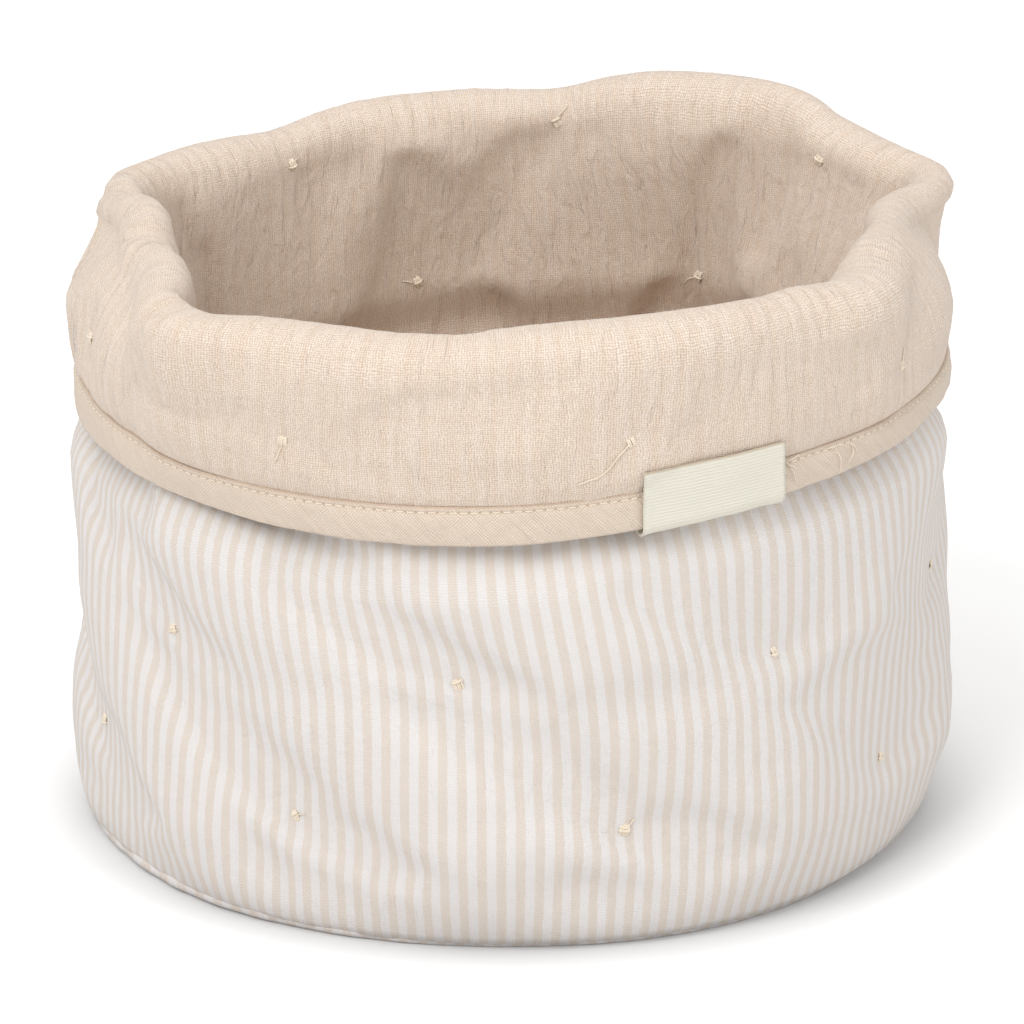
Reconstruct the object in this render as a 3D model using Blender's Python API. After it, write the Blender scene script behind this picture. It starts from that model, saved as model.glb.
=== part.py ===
"""Round storage basket: a quilted cotton tub whose soft rim is turned down as a cuff.

Two cloths with wadding between them are tacked through at points and closed into a
ring. Its lower edge is sewn to a padded round base. Its upper edge is bound with tape
and folded outward, so that the lining shows on the cuff. A woven tag is folded over
the bound hem.

Frame: metres, +Z up, origin at the middle of the underside, the front faces -Y.
A direction is the angle round the basket from the front (-Y) towards +X.
"""

import math

import bmesh
import bpy
from mathutils import Vector

MM = 0.001

# The whole basket
HEIGHT = 172 * MM             # floor to the top of the folded rim, on average
BASE_DIAMETER = 223 * MM      # at the seam that joins the base to the side
BELLY_DIAMETER = 234.5 * MM   # the widest part of the striped side
BELLY_LOW = 30 * MM           # the side is at its widest from this height
BELLY_HIGH = 78 * MM          # up to this one
WAIST_DIAMETER = 220 * MM     # the side where the hem of the cuff closes round it
RIM_DIAMETER = 217 * MM       # the middle line of the fold where nothing pushes it
CUFF_DROP = 57 * MM           # top of the rim down to the lower edge of the hem

# The padded sheet
PAD_THICKNESS = 9 * MM        # outer cloth, wadding and lining together
CLOTH = 0.8 * MM              # one cotton cloth
PLY_GAP = 0.3 * MM            # clearance between pieces that lie on each other
SEAM_THICKNESS = 4 * MM       # the sheet pressed flat at the base seam
HEM_THICKNESS = 2.8 * MM      # the sheet pressed flat inside the binding
FOLD_GAP = 2.4 * MM           # air inside the fold, between side and cuff
HEM_CLEARANCE = 0.5 * MM      # air between the side's puffs and the tag on the hem
CUFF_SWELL = 0.3 * MM         # how far the cuff stands out past the fold

# How the soft rim is pushed out of round, in sixteen directions from the front
PUSH_IN = 16 * MM
RIM_RISE = 5 * MM
HEM_RISE = 8 * MM
FOOT_SPREAD = 4 * MM
push_in_shares = (0.05, 0.0, -0.05, 0.3, 0.35, -0.45, -0.2, 0.1,
                  0.1, -0.05, 0.0, -0.2, 0.75, 0.4, -0.35, 0.0)
rim_rise_shares = (0.1, 0.3, 0.6, 0.2, -0.45, -0.75, 0.85, 1.0,
                   0.05, -0.55, -1.2, -0.85, 0.25, -0.15, -0.45, -0.2)
hem_rise_shares = (0.0, 0.25, 0.5, 0.85, 1.0, 0.8, 0.6, 0.7,
                   0.3, -0.3, -0.1, 0.1, 0.15, 0.15, 0.0, -0.1)
foot_spread_shares = (-0.25, -0.1, -0.3, -0.8, 0.3, 0.0, 0.0, 0.0,
                      0.1, 0.3, 0.5, 0.8, 1.0, 0.5, 0.3, 0.0)
# Corners where the soft rim kinks outward: degrees from the front, share of the push
CORNER_PUSH = 5 * MM
CORNER_REACH = math.radians(9)
corner_directions = (-90, 114, -47, 55)
corner_push_shares = (1.65, 1.0, 1.0, 1.0)
CORNER_FLARE_SHARE = 0.5      # how much of an outward push the cuff follows
FOLD_TURN = math.radians(90)  # the fold ends pointing straight down
PUSHED_TURN = math.radians(50)  # taken off that turn where the rim is pushed in
CUFF_BULGE_SHARE = 0.55       # height of the widest part of the cuff above its hem

# The tacks that hold the layers together
TACKS_ROUND = 8
FIRST_TACK_DIRECTION = math.radians(15)
FIRST_TACK_HEIGHT = 28 * MM   # above the base seam
TACK_PITCH = 42 * MM          # from row to row up the side
TUFT_THICKNESS = 2.8 * MM     # the sheet drawn together at a tack
TUFT_SPREAD = 16 * MM         # how far round a tack the wadding is drawn in
QUILT_RELIEF = 2.6 * MM       # thickness between the creases and the middles of the puffs
CUFF_RELIEF_SHARE = 0.35      # of that on the fold and the cuff, which lie smoother
# The way the creases run from tack to tack: 1 falls to the right, 0 falls to the left
crease_shares = (0.6, 0.5, 0.35, 0.25, 0.25, 0.4, 0.5, 0.5,
                 0.5, 0.5, 0.6, 0.7, 0.9, 0.95, 0.9, 0.75)
TACK_HOLE = 1.6 * MM          # centre to corner of the four-sided stitch hole
TACK_SHANK = 1.15 * MM        # the thread bundle in it
TACK_HEAD = 2.6 * MM          # the knot on each face
TACK_HEAD_HEIGHT = 0.9 * MM

# The base
BASE_THICKNESS = 9 * MM
SEAM_HEIGHT = 4.8 * MM        # the base cloth turns up to here
BASE_EDGE_GAP = 0.5 * MM      # base padding to the side's lining

# Binding and tag
BINDING_HEIGHT = 10 * MM
BINDING_CLOTH = 0.8 * MM
TAG_DIRECTION = math.radians(28)
TAG_WIDTH = 36 * MM
TAG_OVERLAP = 6 * MM          # the tag reaches this far past the binding
TAG_CLOTH = 0.6 * MM

# Mesh steps
COLUMNS_PER_TACK = 4
FOLD_STEPS = 4
BASE_CORNER_STEPS = 2
SHARP_ANGLE = math.radians(50)
NORMAL_STEP_SHARE = 0.001     # of a radian and of a run, between which normals are measured

# Places along the sheet: its run goes from the base seam up, over the fold and down
SEAM, FOLD_START, FOLD_END, CUFF_WIDEST, HEM = 0, 1, 2, 2.5, 3

columns = TACKS_ROUND * COLUMNS_PER_TACK
fold_radius = (PAD_THICKNESS + FOLD_GAP) / 2
fold_height = HEIGHT - PAD_THICKNESS / 2 - fold_radius
binding_build_up = HEM_THICKNESS / 2 + PLY_GAP + BINDING_CLOTH
belly_radius = (BELLY_DIAMETER - PAD_THICKNESS) / 2
waist_radius = (WAIST_DIAMETER - PAD_THICKNESS) / 2
foot_radius = (BASE_DIAMETER - SEAM_THICKNESS) / 2
tag_build_up = binding_build_up + PLY_GAP + TAG_CLOTH
hem_radius = (WAIST_DIAMETER + QUILT_RELIEF) / 2 + HEM_CLEARANCE + tag_build_up
hem_height = HEIGHT - CUFF_DROP + PLY_GAP + BINDING_CLOTH
cuff_radius = (hem_radius + RIM_DIAMETER / 2 + fold_radius) / 2 + CUFF_SWELL
side_height = fold_height - SEAM_HEIGHT


def smooth(share):
    """An even S-curve from 0 to 1."""
    share = min(max(share, 0), 1)
    return share * share * (3 - 2 * share)


def mix(first, second, share):
    return first + (second - first) * share


def around(shares, direction):
    """Read a table of shares, one for each of its even directions, as a smooth loop."""
    place = direction / math.tau * len(shares)
    start = math.floor(place)
    t = place - start
    a, b, c, d = (shares[(start + k) % len(shares)] for k in (-1, 0, 1, 2))
    bend = (c - a) * t + (2 * a - 5 * b + 4 * c - d) * t * t
    return b + (bend + (3 * b - a - 3 * c + d) * t ** 3) / 2


def arc_between(first, second, first_pull, second_pull, t):
    """A cubic curve that leaves and arrives along the two pulls."""
    from_first = (2 * t ** 3 - 3 * t * t + 1) * first + (t ** 3 - 2 * t * t + t) * first_pull
    from_second = (3 * t * t - 2 * t ** 3) * second + (t ** 3 - t * t) * second_pull
    return from_first + from_second


def pushed_in(direction):
    """How far the rim is pushed in; less than nothing is outward."""
    push = PUSH_IN * around(push_in_shares, direction)
    for corner, share in zip(corner_directions, corner_push_shares):
        aside = (direction - math.radians(corner) + math.pi) % math.tau - math.pi
        push -= CORNER_PUSH * share * math.exp(-(aside / CORNER_REACH) ** 2)
    return push


def fold_centre(direction):
    """Radius and height of the middle of the fold."""
    radius = RIM_DIAMETER / 2 - pushed_in(direction)
    return Vector((radius, fold_height + RIM_RISE * around(rim_rise_shares, direction)))


def hem_end(direction):
    return Vector((hem_radius, hem_height + HEM_RISE * around(hem_rise_shares, direction)))


def foot_radius_at(direction):
    return foot_radius + FOOT_SPREAD * around(foot_spread_shares, direction)


def side_outline(direction, share):
    """The sheet's middle from the base seam (0) up to the start of the fold (1)."""
    top = fold_centre(direction)
    top.x -= fold_radius
    height = mix(SEAM_HEIGHT, top.y, share)
    waist = hem_end(direction).y
    if height < BELLY_LOW:
        rise = (height - SEAM_HEIGHT) / (BELLY_LOW - SEAM_HEIGHT)
        radius = mix(foot_radius_at(direction), belly_radius, math.sin(rise * math.pi / 2))
    elif height < waist:
        rise = (height - BELLY_HIGH) / (waist - BELLY_HIGH)
        radius = mix(belly_radius, waist_radius, smooth(rise))
    else:
        radius = mix(waist_radius, top.x, smooth((height - waist) / (top.y - waist)))
    return Vector((radius, height))


def fold_turn(direction):
    pushed = min(max(pushed_in(direction) / PUSH_IN, 0), 1)
    return FOLD_TURN - PUSHED_TURN * pushed


def fold_outline(direction, share):
    """The sheet's middle round the fold: it turns from upward to downward."""
    angle = mix(-math.pi / 2, fold_turn(direction), share)
    return fold_centre(direction) + fold_radius * Vector((math.sin(angle), math.cos(angle)))


def cuff_outline(direction, share):
    """The sheet's middle from the end of the fold, past its widest place (1), to the hem (2)."""
    start = fold_outline(direction, 1)
    end = hem_end(direction)
    flare = max(-pushed_in(direction), 0) * CORNER_FLARE_SHARE
    bulge_height = mix(end.y, fold_centre(direction).y, CUFF_BULGE_SHARE)
    bulge = Vector((cuff_radius + flare, bulge_height))
    turn = fold_turn(direction)
    leaving = Vector((math.cos(turn), -math.sin(turn))) * (bulge - start).length
    down = Vector((0, -1))
    if share < 1:
        return arc_between(start, bulge, leaving, down * (bulge - start).length, share)
    reach = down * (end - bulge).length
    return arc_between(bulge, end, reach, reach, share - 1)


def sheet_point(direction, run):
    """The sheet's middle at one place of its run."""
    if run <= FOLD_START:
        radius, height = side_outline(direction, run)
    elif run <= FOLD_END:
        radius, height = fold_outline(direction, run - FOLD_START)
    else:
        past = (run - FOLD_END) / (CUFF_WIDEST - FOLD_END)
        radius, height = cuff_outline(direction, past)
    return Vector((radius * math.sin(direction), -radius * math.cos(direction), height))


def sheet_normal(direction, run):
    """Points to the striped side: outward on the side, inward on the cuff."""
    if run == SEAM:
        return Vector((math.sin(direction), -math.cos(direction), 0))
    low, high = max(run - NORMAL_STEP_SHARE, SEAM), min(run + NORMAL_STEP_SHARE, HEM)
    along = sheet_point(direction, high) - sheet_point(direction, low)
    ahead, behind = direction + NORMAL_STEP_SHARE, direction - NORMAL_STEP_SHARE
    across = sheet_point(ahead, run) - sheet_point(behind, run)
    return across.cross(along).normalized()


def run_at_height(height):
    """The run of a row on the side, counted from the base seam."""
    return height / side_height


# The rows of the grid, from the base seam to the hem
low_tack_row = run_at_height(FIRST_TACK_HEIGHT)
middle_tack_row = run_at_height(FIRST_TACK_HEIGHT + TACK_PITCH)
high_tack_row = run_at_height(FIRST_TACK_HEIGHT + 2 * TACK_PITCH)
bulge_above_hem = (fold_height - hem_height) * CUFF_BULGE_SHARE
binding_row = mix(HEM, CUFF_WIDEST, BINDING_HEIGHT / bulge_above_hem)
fold_rows = [mix(FOLD_START, FOLD_END, k / FOLD_STEPS) for k in range(FOLD_STEPS + 1)]
rows = [SEAM, low_tack_row, (low_tack_row + middle_tack_row) / 2, middle_tack_row,
        (middle_tack_row + high_tack_row) / 2, high_tack_row]
rows += fold_rows + [CUFF_WIDEST, binding_row, HEM]
BINDING_ROW_INDEX = len(rows) - 2
HEM_ROW_INDEX = len(rows) - 1

# Rows of tacks: even rows stand over the first tack, odd ones half a pitch aside
tack_rows = (rows.index(low_tack_row), rows.index(middle_tack_row),
             rows.index(high_tack_row), rows.index(FOLD_START), rows.index(CUFF_WIDEST))


def column_direction(column):
    return FIRST_TACK_DIRECTION + math.tau * column / columns


middle = [[sheet_point(column_direction(i), run) for run in rows] for i in range(columns)]
normals = [[sheet_normal(column_direction(i), run) for run in rows] for i in range(columns)]


def row_distances():
    """Distance of each row from the base seam, along the sheet, averaged over the columns."""
    distances = [0]
    for j in range(1, len(rows)):
        steps = [(line[j] - line[j - 1]).length for line in middle]
        distances.append(distances[-1] + sum(steps) / columns)
    return distances


sheet_distances = row_distances()


def tack_places():
    """Grid places of the tacks, row by row from the base."""
    places = []
    for number, row in enumerate(tack_rows):
        aside = COLUMNS_PER_TACK // 2 if number % 2 else 0
        for k in range(TACKS_ROUND):
            places.append(((k * COLUMNS_PER_TACK - aside) % columns, row))
    return places


tacks = tack_places()
tack_set = set(tacks)
tack_runs = [rows[row] for row in tack_rows]


def quilt_level(run):
    """How many rows of tacks lie below a place; less than nothing under the first row."""
    k = 0
    while k < len(tack_runs) - 2 and run > tack_runs[k + 1]:
        k += 1
    return k + (run - tack_runs[k]) / (tack_runs[k + 1] - tack_runs[k])


def crease_share(i, j):
    """The quilting between the tacks: 1 in a crease, -1 in the middle of a puff."""
    turn, lean = i / COLUMNS_PER_TACK, quilt_level(rows[j]) / 2
    falling = around(crease_shares, column_direction(i))
    return mix(math.cos(math.tau * (turn - lean)), math.cos(math.tau * (turn + lean)), falling)


def half_thickness(i, j):
    """Half of the sheet's thickness: full between tacks, drawn in at them and at its edges."""
    if j == 0:
        return SEAM_THICKNESS / 2
    if j >= BINDING_ROW_INDEX:
        return HEM_THICKNESS / 2
    if (i, j) in tack_set:
        return TUFT_THICKNESS / 2
    drawn = 0
    for column, row in tacks:
        aside = abs(i - column)
        aside = min(aside, columns - aside) * math.pi * BELLY_DIAMETER / columns
        away = math.hypot(aside, sheet_distances[j] - sheet_distances[row])
        drawn += math.exp(-(away / TUFT_SPREAD) ** 2)
    relief = QUILT_RELIEF * (1 if rows[j] < FOLD_START else CUFF_RELIEF_SHARE)
    padded = PAD_THICKNESS - relief * crease_share(i, j)
    return mix(padded, TUFT_THICKNESS, min(drawn, 1)) / 2


halves = [[half_thickness(i, j) for j in range(len(rows))] for i in range(columns)]


def cotton(name, colour, roughness):
    """A plain cloth finish."""
    material = bpy.data.materials.new(name)
    material.use_nodes = True
    shader = material.node_tree.nodes["Principled BSDF"]
    shader.inputs["Base Color"].default_value = (*colour, 1)
    shader.inputs["Roughness"].default_value = roughness
    shader.inputs["Metallic"].default_value = 0
    return material


def new_object(name, bm, material):
    """Turn a finished mesh into a named object with one material."""
    bmesh.ops.recalc_face_normals(bm, faces=bm.faces)
    mesh = bpy.data.meshes.new(name)
    bm.to_mesh(mesh)
    bm.free()
    mesh.shade_smooth()
    mesh.set_sharp_from_angle(angle=SHARP_ANGLE)
    mesh.materials.append(material)
    item = bpy.data.objects.new(name, mesh)
    bpy.context.collection.objects.link(item)
    return item


def offset_grid(bm, distance_at):
    """One face of a layer: the sheet's middle moved along its normals."""
    grid = []
    for i in range(columns):
        line = []
        for j in range(len(rows)):
            line.append(bm.verts.new(middle[i][j] + normals[i][j] * distance_at(halves[i][j])))
        grid.append(line)
    return grid


def splits_forward(i, k, j):
    """Whether a cell's diagonal runs from column i to the next row of column k.

    The diagonals keep clear of the tacks, and inside the binding they match its own.
    """
    if (i, j) in tack_set or (k, j + 1) in tack_set:
        return False
    if (k, j) in tack_set or (i, j + 1) in tack_set or j >= BINDING_ROW_INDEX:
        return True
    return (i + j) % 2 == 0


def skin_grid(bm, grid):
    """Triangles over the whole grid."""
    for i in range(columns):
        k = (i + 1) % columns
        near, far = grid[i], grid[k]
        for j in range(HEM_ROW_INDEX):
            if splits_forward(i, k, j):
                bm.faces.new((near[j], far[j], far[j + 1]))
                bm.faces.new((near[j], far[j + 1], near[j + 1]))
            else:
                bm.faces.new((near[j], far[j], near[j + 1]))
                bm.faces.new((far[j], far[j + 1], near[j + 1]))


def pierce(bm, front, back):
    """Open a four-sided stitch hole through the layer at each tack."""
    for i, j in tacks:
        rims = []
        for corner in (front[i][j], back[i][j]):
            cut = bmesh.ops.bevel(bm, geom=[corner], offset=TACK_HOLE, offset_type="OFFSET",
                                  segments=1, profile=0.5, affect="VERTICES")
            patch = [face for face in cut["faces"] if len(face.verts) == 4][-1:]
            rims += list(patch[0].edges)
            bmesh.ops.delete(bm, geom=patch, context="FACES_ONLY")
        bmesh.ops.bridge_loops(bm, edges=rims)


def layer(name, outer_at, inner_at, material):
    """One ply of the padded sheet, from two offsets of its middle."""
    bm = bmesh.new()
    front = offset_grid(bm, outer_at)
    back = offset_grid(bm, inner_at)
    skin_grid(bm, front)
    skin_grid(bm, back)
    for i in range(columns):
        k = (i + 1) % columns
        for j in (0, HEM_ROW_INDEX):
            bm.faces.new((front[i][j], front[k][j], back[k][j], back[i][j]))
    pierce(bm, front, back)
    return new_object(name, bm, material)


def base_edge():
    """How far the base padding stays inside the seam, clear of the widest puff of the side."""
    climb = (BASE_THICKNESS - SEAM_HEIGHT) / FIRST_TACK_HEIGHT
    return mix(SEAM_THICKNESS, PAD_THICKNESS + QUILT_RELIEF, climb) / 2 + BASE_EDGE_GAP


def turned(name, outline, material):
    """A closed solid over the base's outline: each point is an inset and a height."""
    bm = bmesh.new()
    rings = []
    for inset, height in outline:
        ring = []
        for i in range(columns):
            direction = column_direction(i)
            radius = foot_radius_at(direction) - inset
            ring.append(bm.verts.new((radius * math.sin(direction),
                                      -radius * math.cos(direction), height)))
        rings.append(ring)
    for lower, upper in zip(rings, rings[1:]):
        for i in range(columns):
            k = (i + 1) % columns
            bm.faces.new((lower[i], lower[k], upper[k], upper[i]))
    bm.faces.new(rings[0])
    bm.faces.new(rings[-1])
    return new_object(name, bm, material)


def base_outer_panel(material):
    """The striped base cloth: a flat disc whose edge turns up to the side seam."""
    corner = SEAM_HEIGHT - PLY_GAP
    rim = -SEAM_THICKNESS / 2
    outline = []
    for depth in (0, CLOTH):
        bend = corner - depth
        side = []
        for k in range(BASE_CORNER_STEPS + 1):
            angle = math.pi / 2 * k / BASE_CORNER_STEPS
            side.append((rim + corner - bend * math.sin(angle), corner - bend * math.cos(angle)))
        outline.append(side)
    return turned("base_outer_panel", outline[0] + outline[1][::-1], material)


def base_wadding(material):
    """The base pad: a thick disc with eased edges."""
    edge = base_edge()
    low = CLOTH + PLY_GAP
    high = BASE_THICKNESS - CLOTH - PLY_GAP
    ease = (high - low) / 3
    outline = ((edge + ease, low), (edge, low + ease), (edge, high - ease), (edge + ease, high))
    return turned("base_wadding", outline, material)


def base_lining(material):
    """The lining disc on top of the base pad."""
    edge = base_edge()
    outline = ((edge, BASE_THICKNESS - CLOTH), (edge, BASE_THICKNESS))
    return turned("base_lining", outline, material)


def hem_frame(i):
    """Hem row, binding row, the direction down the sheet and its normal at one column."""
    hem, upper = middle[i][HEM_ROW_INDEX], middle[i][BINDING_ROW_INDEX]
    return hem, upper, (hem - upper).normalized(), normals[i][HEM_ROW_INDEX]


def wrap_section(i, clearance, reach):
    """A line folded round the hem at one column, from the cuff's face to its back.

    It keeps the clearance to the binding's middle and reaches past the binding's edge.
    """
    hem, upper, down, normal = hem_frame(i)
    flat = normals[i][BINDING_ROW_INDEX]
    bottom = hem + down * (clearance - HEM_THICKNESS / 2)
    line = []
    if reach:
        line.append(reach_point(i, -clearance, reach))
    line += [upper - flat * clearance, hem - normal * clearance,
             bottom - normal * (clearance / 2), bottom + normal * (clearance / 2),
             hem + normal * clearance, upper + flat * clearance]
    if reach:
        line.append(reach_point(i, clearance, reach))
    return line


def reach_point(i, clearance, reach):
    """A point past the binding's upper edge, held off the swelling sheet."""
    j = BINDING_ROW_INDEX
    share = reach / (middle[i][j - 1] - middle[i][j]).length
    point = middle[i][j].lerp(middle[i][j - 1], share)
    normal = normals[i][j].lerp(normals[i][j - 1], share).normalized()
    swell = mix(halves[i][j], PAD_THICKNESS / 2, share) - halves[i][j]
    return point + normal * (clearance + math.copysign(swell, clearance))


def rim_binding(material):
    """Tape folded over the hem, the whole way round."""
    bm = bmesh.new()
    rings = []
    for i in range(columns):
        outer = wrap_section(i, binding_build_up, 0)
        inner = wrap_section(i, binding_build_up - BINDING_CLOTH, 0)
        rings.append([bm.verts.new(point) for point in outer + inner[::-1]])
    for i in range(columns):
        join_sections(bm, rings[i], rings[(i + 1) % columns])
    return new_object("rim_binding", bm, material)


def join_sections(bm, first, second):
    """Close the wall between two like sections, each cell split from its first upper corner."""
    for k in range(len(first)):
        m = (k + 1) % len(first)
        if first[k].co.z > first[m].co.z:
            bm.faces.new((first[k], second[k], second[m]))
            bm.faces.new((first[k], second[m], first[m]))
        else:
            bm.faces.new((first[k], second[k], first[m]))
            bm.faces.new((second[k], second[m], first[m]))


def woven_label(material):
    """A bare tag of woven tape, folded over the bound hem."""
    half_turn = TAG_WIDTH / (2 * (hem_radius + binding_build_up))
    step = math.tau / columns
    first = (TAG_DIRECTION - half_turn - FIRST_TACK_DIRECTION) / step
    last = (TAG_DIRECTION + half_turn - FIRST_TACK_DIRECTION) / step
    places = [first] + list(range(math.floor(first) + 1, math.ceil(last))) + [last]
    bm = bmesh.new()
    sections = []
    for place in places:
        column = math.floor(place)
        outer = label_section(column, place - column, tag_build_up)
        inner = label_section(column, place - column, tag_build_up - TAG_CLOTH)
        sections.append([bm.verts.new(point) for point in outer + inner[::-1]])
    for first_section, second_section in zip(sections, sections[1:]):
        join_sections(bm, first_section, second_section)
    close_fold(bm, sections[0])
    close_fold(bm, sections[-1])
    return new_object("woven_label", bm, material)


def close_fold(bm, section):
    """Close the cut edge of a folded ply, cell by cell between its two faces."""
    cells = len(section) // 2 - 1
    for k in range(cells):
        near, far = section[k], section[k + 1]
        far_back, near_back = section[-k - 2], section[-k - 1]
        bm.faces.new((near, far, far_back))
        bm.faces.new((near, far_back, near_back))


def label_section(column, share, clearance):
    """A folded line between two columns of the hem, on the flat stretch that joins them."""
    here = wrap_section(column % columns, clearance, TAG_OVERLAP)
    there = wrap_section((column + 1) % columns, clearance, TAG_OVERLAP)
    return [a.lerp(b, share) for a, b in zip(here, there)]


def face_point(i, j, side):
    """A point on the striped (side 1) or lining (side -1) face of the sheet."""
    return middle[i][j] + normals[i][j] * (halves[i][j] * side)


def tack(number, i, j, material):
    """A thread pulled through all three layers, with a small knot on each face."""
    bm = bmesh.new()
    normal = normals[i][j]
    neighbours = (((i + 1) % columns, j), (i, j + 1), ((i - 1) % columns, j), (i, j - 1))
    shanks = []
    for side in (1, -1):
        face = face_point(i, j, side)
        lift = normal * (PLY_GAP * side)
        arms = [(face_point(k, m, side) - face).normalized() for k, m in neighbours]
        shank = [bm.verts.new(face + lift + arm * TACK_SHANK) for arm in arms]
        head = [bm.verts.new(face + lift + arm * TACK_HEAD) for arm in arms]
        top = bm.verts.new(face + lift + normal * (TACK_HEAD_HEIGHT * side))
        for k in range(len(arms)):
            m = (k + 1) % len(arms)
            bm.faces.new((shank[k], shank[m], head[m], head[k]))
            bm.faces.new((head[k], head[m], top))
        shanks.append(shank)
    for k in range(len(neighbours)):
        m = (k + 1) % len(neighbours)
        bm.faces.new((shanks[0][k], shanks[0][m], shanks[1][m], shanks[1][k]))
    bmesh.ops.triangulate(bm, faces=bm.faces)
    bmesh.ops.translate(bm, verts=bm.verts, vec=-middle[i][j])
    item = new_object(f"tack_{number:02d}", bm, material)
    item.location = middle[i][j]
    return item


def build():
    for item in list(bpy.data.objects):
        bpy.data.objects.remove(item, do_unlink=True)
    striped = cotton("striped cotton", (0.80, 0.74, 0.69), 0.9)
    muslin = cotton("sand muslin", (0.78, 0.65, 0.53), 0.95)
    fill = cotton("polyester wadding", (0.88, 0.88, 0.86), 1.0)
    tape = cotton("bias tape", (0.76, 0.63, 0.52), 0.9)
    woven = cotton("cream woven tape", (0.81, 0.76, 0.66), 0.85)
    thread = cotton("sand thread", (0.72, 0.56, 0.42), 0.8)
    skin = CLOTH + PLY_GAP
    layer("side_outer_panel", lambda half: half, lambda half: half - CLOTH, striped)
    layer("side_wadding", lambda half: half - skin, lambda half: skin - half, fill)
    layer("side_lining", lambda half: CLOTH - half, lambda half: -half, muslin)
    base_outer_panel(striped.copy())
    base_wadding(fill.copy())
    base_lining(muslin.copy())
    rim_binding(tape)
    woven_label(woven)
    for number, (i, j) in enumerate(tacks, 1):
        tack(number, i, j, thread)


build()
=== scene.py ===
import math

import bpy
import numpy as np
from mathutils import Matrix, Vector, noise
from mathutils.bvhtree import BVHTree


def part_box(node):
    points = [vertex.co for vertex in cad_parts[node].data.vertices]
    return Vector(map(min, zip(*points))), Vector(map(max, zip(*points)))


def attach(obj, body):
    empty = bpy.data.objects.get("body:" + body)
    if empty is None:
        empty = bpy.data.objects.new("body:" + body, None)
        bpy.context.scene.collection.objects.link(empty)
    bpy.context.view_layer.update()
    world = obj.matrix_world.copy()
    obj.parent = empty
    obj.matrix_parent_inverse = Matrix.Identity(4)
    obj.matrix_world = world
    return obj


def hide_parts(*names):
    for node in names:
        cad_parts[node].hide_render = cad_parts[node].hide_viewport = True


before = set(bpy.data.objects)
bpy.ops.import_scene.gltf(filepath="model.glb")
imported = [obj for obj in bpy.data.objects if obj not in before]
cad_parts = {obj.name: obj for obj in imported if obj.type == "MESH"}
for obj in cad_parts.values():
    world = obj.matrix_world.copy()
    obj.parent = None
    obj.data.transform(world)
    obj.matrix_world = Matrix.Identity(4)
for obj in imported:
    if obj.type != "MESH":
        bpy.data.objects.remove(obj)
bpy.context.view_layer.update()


# The padded side.
# Real: striped cotton, wadding and sand muslin in one sheet, tacked through at forty points,
# closed into a ring and turned down at the top, so that the muslin shows as a cuff.

MM = 0.001
HEIGHT = 172 * MM
BASE_DIAMETER, BELLY_DIAMETER = 223 * MM, 234.5 * MM
WAIST_DIAMETER, RIM_DIAMETER = 220 * MM, 217 * MM
BELLY_LOW = 30 * MM
BELLY_BELOW_HEM = 17 * MM     # the body is full up to here, and drawn in above
CUFF_DROP, CUFF_SWELL = 57 * MM, 0.3 * MM
PAD_THICKNESS, PLY_GAP = 9 * MM, 0.3 * MM
SEAM_THICKNESS, SEAM_HEIGHT = 4 * MM, 4.8 * MM
SEAM_SPREAD = 9 * MM          # from the seam up to where the padding is full
HEM_THICKNESS, HEM_CLEARANCE = 2.8 * MM, 0.5 * MM
HEM_SPREAD = 12 * MM
BINDING_HEIGHT, BINDING_CLOTH, TAG_CLOTH = 10 * MM, 0.8 * MM, 0.6 * MM
FOLD_GAP = 2.4 * MM
FOLD_TURN, PUSHED_TURN = math.radians(90), math.radians(50)
CORNER_FLARE_SHARE = 0.5
CUFF_BULGE_SHARE = 0.55

# How the rim is pushed out of round, in sixteen directions from the front
PUSH_IN, RIM_RISE, HEM_RISE, FOOT_SPREAD = 16 * MM, 5 * MM, 8 * MM, 4 * MM
push_in_shares = (0.0, -0.05, 0.05, 0.35, 0.4, -0.35, -0.25, 0.1,
                  0.1, 0.0, 0.05, -0.1, 0.65, 0.48, -0.3, -0.1)
rim_rise_shares = (0.0, 0.2, 0.3, 0.1, 0.3, 0.3, 0.95, 0.85,
                   -0.05, -0.65, -1.05, -0.45, 0.7, 0.1, -0.4, -0.35)
hem_rise_shares = (0.02, 0.5, 0.82, 1.0, 1.0, 0.8, 0.6, 0.7,
                   0.3, -0.3, -0.1, 0.1, 0.15, 0.15, 0.0, -0.1)
foot_spread_shares = (-0.25, -0.1, -0.3, -0.8, 0.3, 0.0, 0.0, 0.0,
                      0.1, 0.3, 0.5, 0.8, 1.0, 0.5, 0.3, 0.0)
# Corners where the soft rim kinks outward: degrees from the front, share of the push
CORNER_PUSH, CORNER_REACH = 5 * MM, math.radians(9)
corners_out = ((-98, 0.9), (109, 1.3), (-47, 1.5), (56, 1.1))
# How sharply the fold is creased, in sixteen directions: 0 is a full round fold
crease_sharp_shares = (0.0, 0.0, 0.0, 0.1, 0.25, 0.4, 0.15, 0.0,
                       0.0, 0.0, 0.1, 0.5, 0.4, 0.2, 0.0, 0.0)
CREASE_STARTS, CREASE_FADES = 0.5, 0.75    # the first run of a crease, and its fading runs

# The side has been turned a little on its base, which slants the stripes under the cuff
TWIST, TWIST_LOW, TWIST_HIGH = 7 * MM, 55 * MM, 118 * MM
TWIST_TOP, TWIST_FADES = 0.8, 0.2          # from this run up the turn fades out
slant_shares = (1.0, 0.9, 0.3, -0.2, -0.5, -0.3, 0.1, 0.4,
                0.3, 0.0, -0.2, -0.3, 0.2, 0.9, 1.1, 1.1)

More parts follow.
